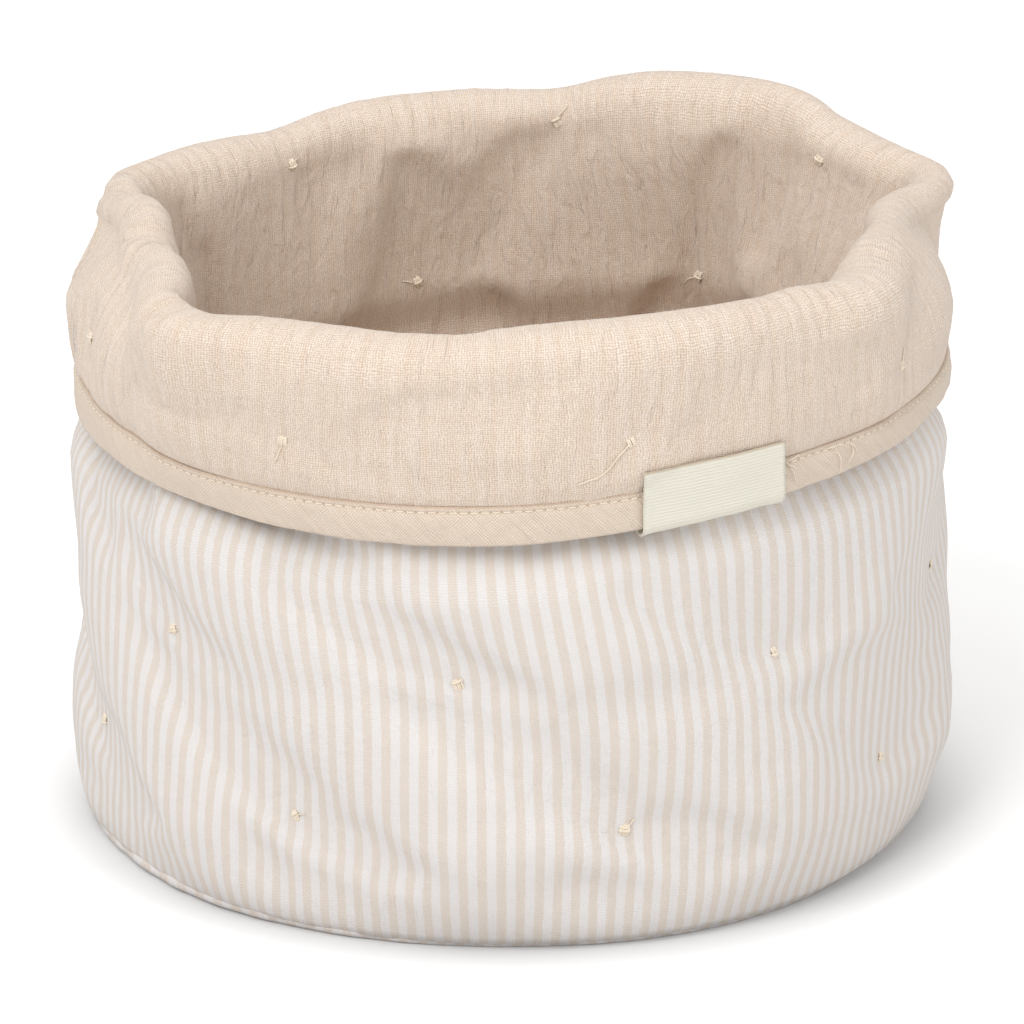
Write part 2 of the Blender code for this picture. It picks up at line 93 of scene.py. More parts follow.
# The forty tacks
TACKS_ROUND = 8
FIRST_TACK_DIRECTION, FIRST_TACK_HEIGHT = math.radians(15), 28 * MM
TUFT_THICKNESS, TUFT_SPREAD = 2.8 * MM, 11 * MM
QUILT_RELIEF, CUFF_RELIEF_SHARE = 3.1 * MM, 0.3
# The way the creases run from tack to tack: 1 falls to the right, 0 falls to the left
crease_shares = (0.6, 0.5, 0.35, 0.25, 0.25, 0.4, 0.5, 0.5,
                 0.5, 0.5, 0.6, 0.7, 0.9, 0.95, 0.9, 0.75)

fold_radius = (PAD_THICKNESS + FOLD_GAP) / 2
fold_height = HEIGHT - PAD_THICKNESS / 2 - fold_radius
binding_build_up = HEM_THICKNESS / 2 + PLY_GAP + BINDING_CLOTH
belly_radius = (BELLY_DIAMETER - PAD_THICKNESS) / 2
waist_radius = (WAIST_DIAMETER - PAD_THICKNESS) / 2
foot_radius = (BASE_DIAMETER - SEAM_THICKNESS) / 2
tag_build_up = binding_build_up + PLY_GAP + TAG_CLOTH
hem_radius = (WAIST_DIAMETER + QUILT_RELIEF) / 2 + HEM_CLEARANCE + tag_build_up
hem_height = HEIGHT - CUFF_DROP + PLY_GAP + BINDING_CLOTH
cuff_radius = (hem_radius + RIM_DIAMETER / 2 + fold_radius) / 2 + CUFF_SWELL
bulge_above_hem = (fold_height - hem_height) * CUFF_BULGE_SHARE

# The sheet runs from the base seam over the fold to the hem, in rows about 2 mm apart
SEAM, FOLD_START, FOLD_END, CUFF_WIDEST, HEM = 0, 1, 2, 2.5, 3
BINDING_TOP = HEM - BINDING_HEIGHT / bulge_above_hem * (HEM - CUFF_WIDEST)
NORMAL_STEP = 0.002           # of a run or an angle, to feel the slope by
CELLS_PER_TACK, BINDING_CELLS = 34, 4
stretches = ((SEAM, FOLD_START, 60), (FOLD_START, FOLD_END, 8), (FOLD_END, CUFF_WIDEST, 10),
             (CUFF_WIDEST, BINDING_TOP, 7), (BINDING_TOP, HEM, BINDING_CELLS))


def smooth(share):
    """An even S-curve from 0 to 1."""
    share = np.clip(share, 0, 1)
    return share * share * (3 - 2 * share)


def mix(first, second, share):
    return first + (second - first) * share


def unit(vectors):
    return vectors / np.linalg.norm(vectors, axis=-1, keepdims=True)


def curve_through(a, b, c, d, t):
    """Values between b and c, on a smooth curve that also runs through a and d."""
    bend = (c - a) * t + (2 * a - 5 * b + 4 * c - d) * t ** 2 + (3 * b - a - 3 * c + d) * t ** 3
    return b + bend / 2


def around(shares, direction):
    """Read a table of even directions as a smooth loop."""
    place = direction / math.tau * len(shares)
    start = np.floor(place).astype(int)
    near = (np.take(shares, start + k, mode="wrap") for k in (-1, 0, 1, 2))
    return curve_through(*near, place - start)


def pushed_in(direction):
    """How far the rim is pushed in, in metres; less than nothing is outward."""
    push = PUSH_IN * around(push_in_shares, direction)
    for corner, share in corners_out:
        aside = (direction - math.radians(corner) + math.pi) % math.tau - math.pi
        push = push - CORNER_PUSH * share * np.exp(-(aside / CORNER_REACH) ** 2)
    return push


def sharpened(direction, run):
    """The share by which the fold is flattened to a crease, fading out below it."""
    near = smooth((run - CREASE_STARTS) / (FOLD_START - CREASE_STARTS))
    near = near * (1 - smooth((run - FOLD_END) / CREASE_FADES))
    return np.clip(around(crease_sharp_shares, direction), 0, 1) * near


def arc_between(first, second, first_pull, second_pull, t):
    """A cubic curve that leaves and arrives along the two pulls."""
    return ((2 * t ** 3 - 3 * t * t + 1) * first + (t ** 3 - 2 * t * t + t) * first_pull
            + (3 * t * t - 2 * t ** 3) * second + (t ** 3 - t * t) * second_pull)


def sheet_outline(direction, run):
    """Radius and height of the sheet's middle at each direction and run."""
    push = pushed_in(direction)
    centre_radius = RIM_DIAMETER / 2 - push
    centre_height = fold_height + RIM_RISE * around(rim_rise_shares, direction)
    bend = fold_radius * (1 - sharpened(direction, FOLD_START))
    hem_top = hem_height + HEM_RISE * around(hem_rise_shares, direction)
    foot = foot_radius + FOOT_SPREAD * around(foot_spread_shares, direction)

    height = mix(SEAM_HEIGHT, centre_height, run)
    rise = np.clip((height - SEAM_HEIGHT) / (BELLY_LOW - SEAM_HEIGHT), 0, 1)
    low = mix(foot, belly_radius, np.sin(rise * math.pi / 2))
    drawn = smooth((height - hem_top) / BELLY_BELOW_HEM + 1)
    radius = mix(low, waist_radius, drawn)
    above = smooth((height - hem_top) / (centre_height - hem_top))
    radius = mix(radius, centre_radius - bend, above)

    turn = FOLD_TURN - PUSHED_TURN * np.clip(push / PUSH_IN, 0, 1)
    angle = mix(-math.pi / 2, turn, np.clip(run - FOLD_START, 0, 1))
    fold_x = centre_radius + bend * np.sin(angle)
    fold_z = centre_height + bend * np.cos(angle)

    flare = np.maximum(-push, 0) * CORNER_FLARE_SHARE
    end_x = centre_radius + bend * np.sin(turn)
    end_z = centre_height + bend * np.cos(turn)
    bulge_x = cuff_radius + flare
    bulge_z = mix(hem_top, centre_height, CUFF_BULGE_SHARE)
    reach = np.hypot(bulge_x - end_x, bulge_z - end_z)
    t = np.clip((run - FOLD_END) / (CUFF_WIDEST - FOLD_END), 0, 1)
    upper_x = arc_between(end_x, bulge_x, np.cos(turn) * reach, 0, t)
    upper_z = arc_between(end_z, bulge_z, -np.sin(turn) * reach, -reach, t)
    drop = np.hypot(hem_radius - bulge_x, hem_top - bulge_z)
    t = np.clip((run - CUFF_WIDEST) / (HEM - CUFF_WIDEST), 0, 1)
    lower_x = arc_between(bulge_x, hem_radius, 0, 0, t)
    lower_z = arc_between(bulge_z, hem_top, -drop, -drop, t)

    zones = (run <= FOLD_START, run <= FOLD_END, run <= CUFF_WIDEST)
    return (np.select(zones, (radius, fold_x, upper_x), lower_x),
            np.select(zones, (height, fold_z, upper_z), lower_z))


def level_way(direction):
    """The level way out from the basket's middle."""
    return np.stack((np.sin(direction), -np.cos(direction), 0 * direction), -1)


def sheet_points(direction, run):
    """The sheet's middle as points."""
    radius, height = sheet_outline(direction, run)
    points = level_way(direction) * radius[..., None]
    points[..., 2] = height
    return points


def sheet_normals(direction, run):
    """Unit normals towards the striped face, level at the base seam."""
    low, high = np.maximum(run - NORMAL_STEP, SEAM), np.minimum(run + NORMAL_STEP, HEM)
    along = sheet_points(direction, high) - sheet_points(direction, low)
    across = (sheet_points(direction + NORMAL_STEP, run)
              - sheet_points(direction - NORMAL_STEP, run))
    normal = np.cross(across, along)
    return unit(np.where((run == SEAM)[..., None], level_way(direction), normal))


def laid_out(grid):
    """How far each row lies from the first, along a grid and on average over its columns."""
    steps = np.linalg.norm(np.diff(grid, axis=1), axis=2).mean(axis=0)
    return np.concatenate(([0], np.cumsum(steps)))


columns = TACKS_ROUND * CELLS_PER_TACK
runs = [np.linspace(low, high, cells, endpoint=False) for low, high, cells in stretches]
runs = np.concatenate(runs + [[HEM]])
row_count = len(runs)
binding_row = row_count - 1 - BINDING_CELLS
column_directions = FIRST_TACK_DIRECTION + math.tau * np.arange(columns) / columns
direction_grid, run_grid = np.meshgrid(column_directions, runs, indexing="ij")


def turned_aside(direction, run):
    """How far round the side has been turned at each place, as an angle."""
    height = sheet_outline(direction, run)[1]
    climb = smooth((height - TWIST_LOW) / (TWIST_HIGH - TWIST_LOW))
    lean = np.where(run < FOLD_START, climb, 0) * (1 - smooth((run - TWIST_TOP) / TWIST_FADES))
    return -TWIST / belly_radius * around(slant_shares, direction) * lean


turned_grid = direction_grid + turned_aside(direction_grid, run_grid)
middle, normals = sheet_points(turned_grid, run_grid), sheet_normals(turned_grid, run_grid)
row_distances = laid_out(middle)
CLOTH_ROUND = math.pi * BELLY_DIAMETER


def tack_vertices():
    """The grid place nearest to each tack of the frame, on the sheet's middle."""
    places = []
    for name in sorted(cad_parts):
        if name.startswith("tack_"):
            low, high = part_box(name)
            centre = (np.array(low) + np.array(high)) / 2
            away = np.linalg.norm(middle - centre, axis=2)
            places.append(np.unravel_index(away.argmin(), away.shape))
    return places


tacks = tack_vertices()
tack_rows = np.reshape([j for _, j in tacks], (-1, TACKS_ROUND)).mean(axis=1)
first_tack_column = min(int(i) for i, _ in tacks[:TACKS_ROUND])


def half_thickness():
    """Half the sheet's thickness: full between tacks, drawn in at them and at its edges."""
    drawn = np.zeros((columns, row_count))
    for i, j in tacks:
        aside = np.abs(np.arange(columns) - i)
        aside = np.minimum(aside, columns - aside) * (CLOTH_ROUND / columns)
        away = np.hypot(aside[:, None], row_distances - row_distances[j])
        drawn = np.maximum(drawn, np.exp(-away / TUFT_SPREAD))
    level = np.interp(np.arange(row_count), tack_rows, np.arange(len(tack_rows)))
    level -= np.maximum(tack_rows[0] - np.arange(row_count), 0) / (tack_rows[1] - tack_rows[0])
    turn = (np.arange(columns)[:, None] - first_tack_column) / CELLS_PER_TACK
    crease = mix(np.cos(math.tau * (turn - level / 2)), np.cos(math.tau * (turn + level / 2)),
                 around(crease_shares, direction_grid))
    relief = QUILT_RELIEF * np.where(runs < FOLD_START, 1, CUFF_RELIEF_SHARE) * crease
    half = mix(PAD_THICKNESS - relief, TUFT_THICKNESS, drawn) / 2
    half *= 1 - sharpened(direction_grid, run_grid)
    half = mix(SEAM_THICKNESS / 2, half, np.sqrt(np.clip(row_distances / SEAM_SPREAD, 0, 1)))
    above_binding = row_distances[binding_row] - row_distances
    return mix(HEM_THICKNESS / 2, half, np.sqrt(np.clip(above_binding / HEM_SPREAD, 0, 1)))


halves = half_thickness()


# The two covers.
# Real: striped cotton outside and soft double muslin inside, both cut a little larger than
# the padding, so that they pucker between the tacks and pull askew.

COVER_CLOTH = 0.4 * MM
SLACK_ROUND_SHARE, SLACK_UP_SHARE = 0.035, 0.045
CUFF_SLACK_SHARE = 0.2        # of that slack, where the muslin is turned down
SLACK_EDGE = 15 * MM          # the slack runs out towards the sewn edges
PULL_SHARE = 0.06             # how far the cloths are pulled askew, in sixteen directions
pull_shares = (0.5, 0.6, 0.2, -0.2, -0.5, -0.3, 0.1, 0.4,
               0.3, 0.0, 0.2, 0.4, 0.8, 1.1, 1.1, 0.8)
SEWN_ROWS = 2                 # rows that the base seam holds
STRIPED_TOP = 0.86            # above this run the fold hides the cotton
HIDDEN_ABOVE_HEM = 16 * MM    # further up under the cuff the cotton is left as it is
PULLED_FRAME, SETTLED_FRAME = 9, 16
UNEVEN_CUT, CUT_SEED = 0.05 * MM, 4
cloth_settings = {
    "quality": 4, "mass": 0.001, "tension_stiffness": 30, "compression_stiffness": 30,
    "shear_stiffness": 8, "bending_stiffness": 30, "tension_damping": 5,
    "compression_damping": 5, "air_damping": 3, "vertex_group_mass": "held",
    "use_pressure": True, "uniform_pressure_force": 45}
BROAD_WAVES = 5               # slower waves round the ring than this are left out
FOLD_GAIN = 1.2               # the folds stand out this much more than they settle
PUFF_LIMIT = 2.2 * MM         # no point is puffed out further than this
CUFF_PUFF_LIMIT = 1.2 * MM    # nor this on the turned-down cuff
HEM_PUFF_LIMIT = 1.0 * MM     # nor this where the bound hem lies on the striped cloth
HEM_REACH = 8 * MM            # which starts this far under the hem
SINK_LIMIT, SINK_SHARE = 2.0 * MM, 0.4     # how far the padding lets a point sink
DRIFT_LIMIT = 9 * MM          # how far a point may slide along the sheet
UNDER_SAG, UNDER_SAG_REACH = 3.2 * MM, 7 * MM


def grid_faces(rows):
    """Quads over a closed ring of columns, facing the striped side."""
    i = np.arange(columns)[:, None]
    j = np.arange(rows - 1)[None, :]
    k = (i + 1) % columns
    corners = (i * rows + j, k * rows + j, k * rows + j + 1, i * rows + j + 1)
    return np.stack(corners, -1).reshape(-1, 4)


def mesh_from(name, points, faces):
    mesh = bpy.data.meshes.new(name)
    faces = [[int(corner) for corner in face] for face in faces]
    mesh.from_pydata(points.reshape(-1, 3).tolist(), [], faces)
    mesh.shade_smooth()
    return mesh


def new_piece(mesh):
    piece = bpy.data.objects.new(mesh.name, mesh)
    bpy.context.scene.collection.objects.link(piece)
    return piece


def held_places():
    """Where neither cloth can move: the tacks and the sewn edges."""
    held = np.zeros((columns, row_count))
    for i, j in tacks:
        held[i, j] = 1
    held[:, :SEWN_ROWS] = 1
    held[:, binding_row:] = 1
    return held


def cut_shape(side):
    """One cloth as it was cut: larger than the padding, and pulled askew."""
    edge = np.minimum(row_distances, row_distances[binding_row] - row_distances)
    eased = smooth(edge / SLACK_EDGE) * np.where(runs < FOLD_END, 1, CUFF_SLACK_SHARE)
    swell = 1 + SLACK_ROUND_SHARE * eased
    steps = np.diff(row_distances) * np.where(runs[1:] < FOLD_END, 1, -CUFF_SLACK_SHARE)
    climb = np.concatenate(([0], np.cumsum(steps))) * SLACK_UP_SHARE
    flat = middle + normals * (halves * side)[..., None]
    flat = flat * np.stack((swell, swell, np.ones(row_count)), -1)
    flat[..., 2] += climb
    turn = around(pull_shares, direction_grid) * PULL_SHARE * row_distances / belly_radius
    turn = np.where(run_grid < FOLD_START, turn, turn[:, runs < FOLD_START][:, -1:])
    x, y = flat[..., 0].copy(), flat[..., 1].copy()
    flat[..., 0] = x * np.cos(turn) - y * np.sin(turn)
    flat[..., 1] = x * np.sin(turn) + y * np.cos(turn)
    return flat


def loose_cloth(name, cut, placed, held, side):
    """A cloth ready to be drawn in from its cut shape to its tacks."""
    random = np.random.default_rng(CUT_SEED)
    faces = grid_faces(cut.shape[1])[:, ::side]
    cloth = new_piece(mesh_from(name, cut + random.normal(0, UNEVEN_CUT, cut.shape), faces))
    group = cloth.vertex_groups.new(name="held")
    group.add(np.flatnonzero(held.reshape(-1)).tolist(), 1.0, "REPLACE")
    cloth.shape_key_add(name="cut")
    drawn_in = cloth.shape_key_add(name="drawn in")
    drawn_in.data.foreach_set("co", placed.reshape(-1))
    for number, value in ((1, 0), (PULLED_FRAME, 1)):
        drawn_in.value = value
        drawn_in.keyframe_insert("value", frame=number)
    sim = cloth.modifiers.new("settle", "CLOTH")
    for key, value in cloth_settings.items():
        setattr(sim.settings, key, value)
    sim.settings.effector_weights.gravity = 0
    sim.collision_settings.use_collision = False
    sim.point_cache.frame_start = 1
    sim.point_cache.frame_end = SETTLED_FRAME
    return cloth


def settle(cloths):
    """Run the simulation on all the cloths together and read their points back."""
    for number in range(1, SETTLED_FRAME + 1):
        bpy.context.scene.frame_set(number)
    found = []
    for cloth in cloths:
        settled = cloth.evaluated_get(bpy.context.evaluated_depsgraph_get())
        points = np.empty(len(settled.data.vertices) * 3)
        settled.data.vertices.foreach_get("co", points)
        found.append(points.reshape(columns, -1, 3))
    bpy.context.scene.frame_set(1)
    for cloth in cloths:
        bpy.data.objects.remove(cloth)
    return found


def rounded_off(values):
    """Ease what is sharper up the sheet than the wadding lets it be."""
    eased = (values[:, :-2] + 2 * values[:, 1:-1] + values[:, 2:]) / 4
    return np.concatenate((values[:, :1], eased, values[:, -1:]), axis=1)


def folds_alone(puff):
    """Take away what is slow round the ring, since the padding holds the overall form."""
    waves = np.fft.rfft(puff, axis=0)
    waves[:BROAD_WAVES] = 0
    return rounded_off(np.fft.irfft(waves, n=columns, axis=0))


def within_limits(found, placed, side):
    """Keep each settled point near its place, since the padding under it holds it out."""
    rows = found.shape[1]
    out = normals[:, :rows] * side
    moved = found - placed
    puff = (moved * out).sum(-1, keepdims=True)
    slide = rounded_off(moved - puff * out)
    puff = folds_alone(puff) * FOLD_GAIN
    if side > 0:
        near_hem = smooth((placed[..., 2] - hem_line[:, :rows] + HEM_REACH) / HEM_REACH)
        tight = mix(PUFF_LIMIT, HEM_PUFF_LIMIT, near_hem)[..., None]
    else:
        tight = mix(PUFF_LIMIT, CUFF_PUFF_LIMIT, smooth(run_grid - FOLD_START))[..., None]
    sink = np.minimum(SINK_LIMIT, halves[:, :rows] * SINK_SHARE)[..., None]
    limit = np.where(puff > 0, tight, np.minimum(sink, tight))
    puff = limit * np.tanh(puff / limit)
    length = np.linalg.norm(slide, axis=-1, keepdims=True)
    slide = slide * DRIFT_LIMIT * np.tanh(length / DRIFT_LIMIT) / np.maximum(length, MM / 1000)
    return placed + puff * out + slide


hem_line = hem_height + HEM_RISE * around(hem_rise_shares, direction_grid)
striped_face = middle + normals * halves[..., None]
muslin_face = middle - normals * halves[..., None]
muslin_distances = laid_out(muslin_face)     # it lies inside the fold, and so it is shorter
held = held_places()
low_rows = np.s_[:, :int(np.argmax(runs > STRIPED_TOP))]
striped_held = held[low_rows].copy()
striped_held[middle[low_rows][..., 2] > hem_line[low_rows] + HIDDEN_ABOVE_HEM] = 1
loose = [loose_cloth("loose_striped", cut_shape(1)[low_rows], striped_face[low_rows],
                     striped_held, 1),
         loose_cloth("loose_muslin", cut_shape(-1), muslin_face, held, -1)]
found_striped, found_muslin = settle(loose)
striped_face[low_rows] = within_limits(found_striped, striped_face[low_rows], 1)
muslin_face = within_limits(found_muslin, muslin_face, -1)

# The striped cotton rounds under itself to the base seam
striped_face[..., 2] -= UNDER_SAG * np.exp(-(row_distances / UNDER_SAG_REACH) ** 2)


def shell(name, front, back, places, ring=True, capped=False):
    """A thin closed piece between two grids of points, from their cloth places.

    A ring's columns come round to the first again; a capped one is filled at its last row.
    """
    count, rows = front.shape[:2]
    cells = count if ring else count - 1
    behind = (cells + 1) * rows
    i, j = (grid.reshape(-1) for grid in np.mgrid[0:cells, 0:rows - 1])
    low = i * rows + j
    quads = np.stack((low, low + rows, low + rows + 1, low + 1), -1)
    i, j = np.arange(cells) * rows, np.arange(rows - 1)
    borders = [(i + rows, i)]
    if not capped:
        borders.append((i + rows - 1, i + 2 * rows - 1))
    if not ring:
        borders += [(j, j + 1), (cells * rows + j + 1, cells * rows + j)]
    strips = [np.stack((a, b, b + behind, a + behind), -1) for a, b in borders]
    faces = np.concatenate([quads, quads[:, ::-1] + behind] + strips).tolist()
    if capped:
        cap = (i + rows - 1).tolist()
        faces += [cap, [place + behind for place in cap[::-1]]]
    corners = np.array([corner for face in faces for corner in face])
    column = corners % behind // rows % count
    points = column * rows + corners % rows + (corners >= behind) * count * rows
    ends = np.cumsum([len(face) for face in faces])
    mesh = mesh_from(name, np.concatenate((front.reshape(-1, 3), back.reshape(-1, 3))),
                     np.split(points, ends[:-1]))
    layer = mesh.uv_layers.new(name="cloth")
    layer.data.foreach_set("uv", places.reshape(-1, 2)[corners % behind].reshape(-1))
    return new_piece(mesh)


def cloth_places(round_cells, distances):
    """Where each point of a ring lies on the flat cloth, in metres, with the closing column."""
    along = np.arange(round_cells + 1) * CLOTH_ROUND / round_cells
    return np.stack(np.meshgrid(along, distances, indexing="ij"), -1)


def finish_piece(piece, slot, material, *nodes):
    """Dress a piece, let it ride the basket and stand for its CAD nodes."""
    piece.data.materials.append(material)
    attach(piece, "root")
    if nodes:
        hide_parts(*nodes)
    return piece


def feed(tree, socket, source):
    """Set a socket, or link another socket to it."""
    if isinstance(source, bpy.types.NodeSocket):
        tree.links.new(source, socket)
    else:
        socket.default_value = source


def put(tree, kind, *sources, **settings):
    """Add a node with these settings and feed its inputs in order."""
    made = tree.nodes.new("ShaderNode" + kind)
    for key, value in settings.items():
        setattr(made, key, value)
    for socket, source in zip(made.inputs, sources):
        if source is not None:
            feed(tree, socket, source)
    return made


def calc(tree, operation, *sources):
    return put(tree, "Math", *sources, operation=operation).outputs[0]


def ramp(tree, value, low, high, first=0, last=1):
    """Spread a value between low and high from first to last, and hold it beyond them."""
    return put(tree, "MapRange", value, low, high, first, last).outputs[0]


def split(tree, place):
    return put(tree, "SeparateXYZ", place).outputs


def join(tree, *sources):
    return put(tree, "CombineXYZ", *sources).outputs[0]


def scaled(tree, vector, factor):
    """A vector made longer by a factor."""
    made = put(tree, "VectorMath", vector, operation="SCALE")
    feed(tree, made.inputs["Scale"], factor)
    return made.outputs[0]


def set_values(made, values):
    """Set a node's sockets by their names; give back its outputs."""
    for label, value in values.items():
        made.inputs[label.capitalize()].default_value = value
    return made.outputs


def cloudy(tree, place, **values):
    """Soft flat noise with its own values."""
    return set_values(put(tree, "TexNoise", place, noise_dimensions="2D"), values)


# The cloths share the shader groups below, whose places are metres on the flat cloth
def new_group(name, gives, **values):
    """An empty shader group over cloth places: its tree, its incoming and outgoing sockets."""
    tree = bpy.data.node_groups.new(name, "ShaderNodeTree")
    tree.interface.new_socket("Place", in_out="INPUT", socket_type="NodeSocketVector")
    for label, value in values.items():
        socket = tree.interface.new_socket(label.capitalize(), in_out="INPUT",
                                           socket_type="NodeSocketFloat")
        socket.default_value = value
    for label in gives:
        tree.interface.new_socket(label, in_out="OUTPUT", socket_type="NodeSocketFloat")
    return tree, tree.nodes.new("NodeGroupInput").outputs, tree.nodes.new("NodeGroupOutput").inputs


def ridges(tree, turns):
    """Round ridges side by side, one to a turn."""
    return calc(tree, "ABSOLUTE", calc(tree, "SINE", calc(tree, "MULTIPLY", turns, math.pi)))


def weave_group():
    """Plain weave: threads over and under one another, a little uneven."""
    tree, take, give = new_group("plain weave", ("Height", "Upright thread", "Grain"),
                                 pitch=0.4 * MM, unevenness=0.3)
    threads = scaled(tree, take["Place"], calc(tree, "DIVIDE", 1, take["Pitch"]))
    feed(tree, give["Grain"], cloudy(tree, threads, scale=1.1)["Fac"])
    drift = cloudy(tree, threads, scale=0.13, detail=4, roughness=0.6)["Color"]
    swing = put(tree, "VectorMath", drift, (0.5, 0.5, 0.5), operation="SUBTRACT").outputs[0]
    swing = scaled(tree, swing, calc(tree, "MULTIPLY", take["Unevenness"], 6))
    u, v, _ = split(tree, put(tree, "VectorMath", threads, swing, operation="ADD").outputs[0])

    def thread(across, along, odd):
        turn = calc(tree, "ADD", calc(tree, "ADD", along, calc(tree, "FLOOR", across)), odd)
        wave = calc(tree, "SINE", calc(tree, "MULTIPLY", turn, math.pi))
        return calc(tree, "MULTIPLY", ridges(tree, across), ramp(tree, wave, -1, 1))

    upright, level = thread(u, v, 0), thread(v, u, 1)
    feed(tree, give["Height"], calc(tree, "MAXIMUM", upright, level))
    feed(tree, give["Upright thread"], calc(tree, "GREATER_THAN", upright, level))
    return tree


def streak_group():
    """Thick and thin threads that run along and across the cloth."""
    tree, take, give = new_group("slub threads", ("Upright", "Level"),
                                 pitch=0.4 * MM, length=20 * MM)
    sides = split(tree, take["Place"])
    for label, across, along in (("Upright", 0, 1), ("Level", 1, 0)):
        line = join(tree, calc(tree, "DIVIDE", sides[across], take["Pitch"]),
                    calc(tree, "DIVIDE", sides[along], take["Length"]))
        feed(tree, give[label], cloudy(tree, line, scale=0.5)["Fac"])
    return tree


def crumple_group():
    """Small soft creases, longer up the cloth than round it."""
    tree, take, give = new_group("crumples", ("Height",), size=6 * MM, stretch=1.6)
    sides = split(tree, take["Place"])
    tall = calc(tree, "MULTIPLY", take["Size"], take["Stretch"])
    line = join(tree, calc(tree, "DIVIDE", sides[0], take["Size"]),
                calc(tree, "DIVIDE", sides[1], tall))
    feed(tree, give["Height"], cloudy(tree, line, scale=1, detail=3, distortion=0.6)["Fac"])
    return tree


def stripe_group():
    """Woven stripes: a mask of the sand ones, with slightly uneven edges."""
    tree, take, give = new_group("woven stripes", ("Sand",), pitch=5 * MM, unevenness=0.3)
    turn = calc(tree, "DIVIDE", split(tree, take["Place"])[0], take["Pitch"])
    sway = calc(tree, "SUBTRACT", cloudy(tree, take["Place"], scale=1600)["Fac"], 0.5)
    turn = calc(tree, "ADD", turn, calc(tree, "MULTIPLY", sway, take["Unevenness"]))
    wave = calc(tree, "SINE", calc(tree, "MULTIPLY", turn, math.tau))
    feed(tree, give["Sand"], ramp(tree, wave, -0.25, 0.25))
    return tree


def joint_group():
    """Where the two layers of a double gauze are caught together: bands and dimples."""
    tree, take, give = new_group("gauze joints", ("Band", "Dimple"), band=6 * MM, step=7 * MM)
    sides = split(tree, take["Place"])
    wander = calc(tree, "SUBTRACT", cloudy(tree, take["Place"], scale=90)["Fac"], 0.5)
    across = calc(tree, "ADD", calc(tree, "DIVIDE", sides[0], take["Band"]), wander)
    along = calc(tree, "DIVIDE", sides[1], take["Step"])
    wave = calc(tree, "COSINE", calc(tree, "MULTIPLY", across, math.tau))
    feed(tree, give["Band"], ramp(tree, wave, -1, 1))
    cell = put(tree, "TexVoronoi", join(tree, across, along), voronoi_dimensions="2D")
    cell = set_values(cell, {"scale": 1, "randomness": 0.35})
    near = ramp(tree, cell["Distance"], 0.05, 0.24, 1, 0)
    feed(tree, give["Dimple"], calc(tree, "MULTIPLY", near, split(tree, cell["Color"])[0]))
    return tree


weave, streaks, crumples = weave_group(), streak_group(), crumple_group()
stripes, joints = stripe_group(), joint_group()


def new_material(name, roughness, sheen, gloss=0.2):
    """A material with its cloth places; itself, the tree, the shader and the places."""
    material = bpy.data.materials.new(name)
    material.use_nodes = True
    tree = material.node_tree
    shader = tree.nodes["Principled BSDF"].inputs
    shader["Roughness"].default_value = roughness
    shader["Sheen Weight"].default_value = sheen
    shader["Specular IOR Level"].default_value = gloss
    return material, tree, shader, put(tree, "UVMap", uv_map="cloth").outputs[0]


def use(tree, group, place, **values):
    """Place a shader group and set its own values; give back its outputs."""
    made = tree.nodes.new("ShaderNodeGroup")
    made.node_tree = group
    feed(tree, made.inputs["Place"], place)
    return set_values(made, values)


def mixed(tree, share, first, second, blend="MIX"):
    """Two colours mixed by a share; each is a socket or its red, green and blue."""
    made = put(tree, "Mix", data_type="RGBA", blend_type=blend)
    feed(tree, made.inputs[0], share)
    for socket, colour in ((made.inputs[6], first), (made.inputs[7], second)):
        feed(tree, socket, (*colour, 1) if isinstance(colour, tuple) else colour)
    return made.outputs[2]


def bumps(tree, shader, *layers):
    """Stack bumps, each a height and its depth in metres."""
    normal = None
    for height, depth in layers:
        made = put(tree, "Bump")
        made.inputs["Strength"].default_value = 1
        made.inputs["Distance"].default_value = depth
        feed(tree, made.inputs["Height"], height)
        if normal:
            feed(tree, made.inputs["Normal"], normal)
        normal = made.outputs[0]
    feed(tree, shader["Normal"], normal)


STRIPES_ROUND = 148
WHITE_YARN, SAND_YARN = (0.795, 0.77, 0.76), (0.735, 0.655, 0.585)
# The cotton's painted shade between its threads
COTTON_GAP_SHADE = (0.86, 0.83, 0.8)
COTTON_PITCH, MUSLIN_PITCH = 0.48 * MM, 0.7 * MM
MUSLIN_OPEN = 1.32            # the muslin's level threads lie closer by this
MUSLIN_LIGHT, MUSLIN_DARK = (0.86, 0.755, 0.665), (0.58, 0.47, 0.38)
# MUSLIN_SHADE darkens the real slub streaks, and is painted shade in the joints' bands and dimples
MUSLIN_SHADE = (0.93, 0.87, 0.80)
BAND_PITCH, JOINT_PITCH = 5.8 * MM, 7 * MM    # upright bands, and the joints along them


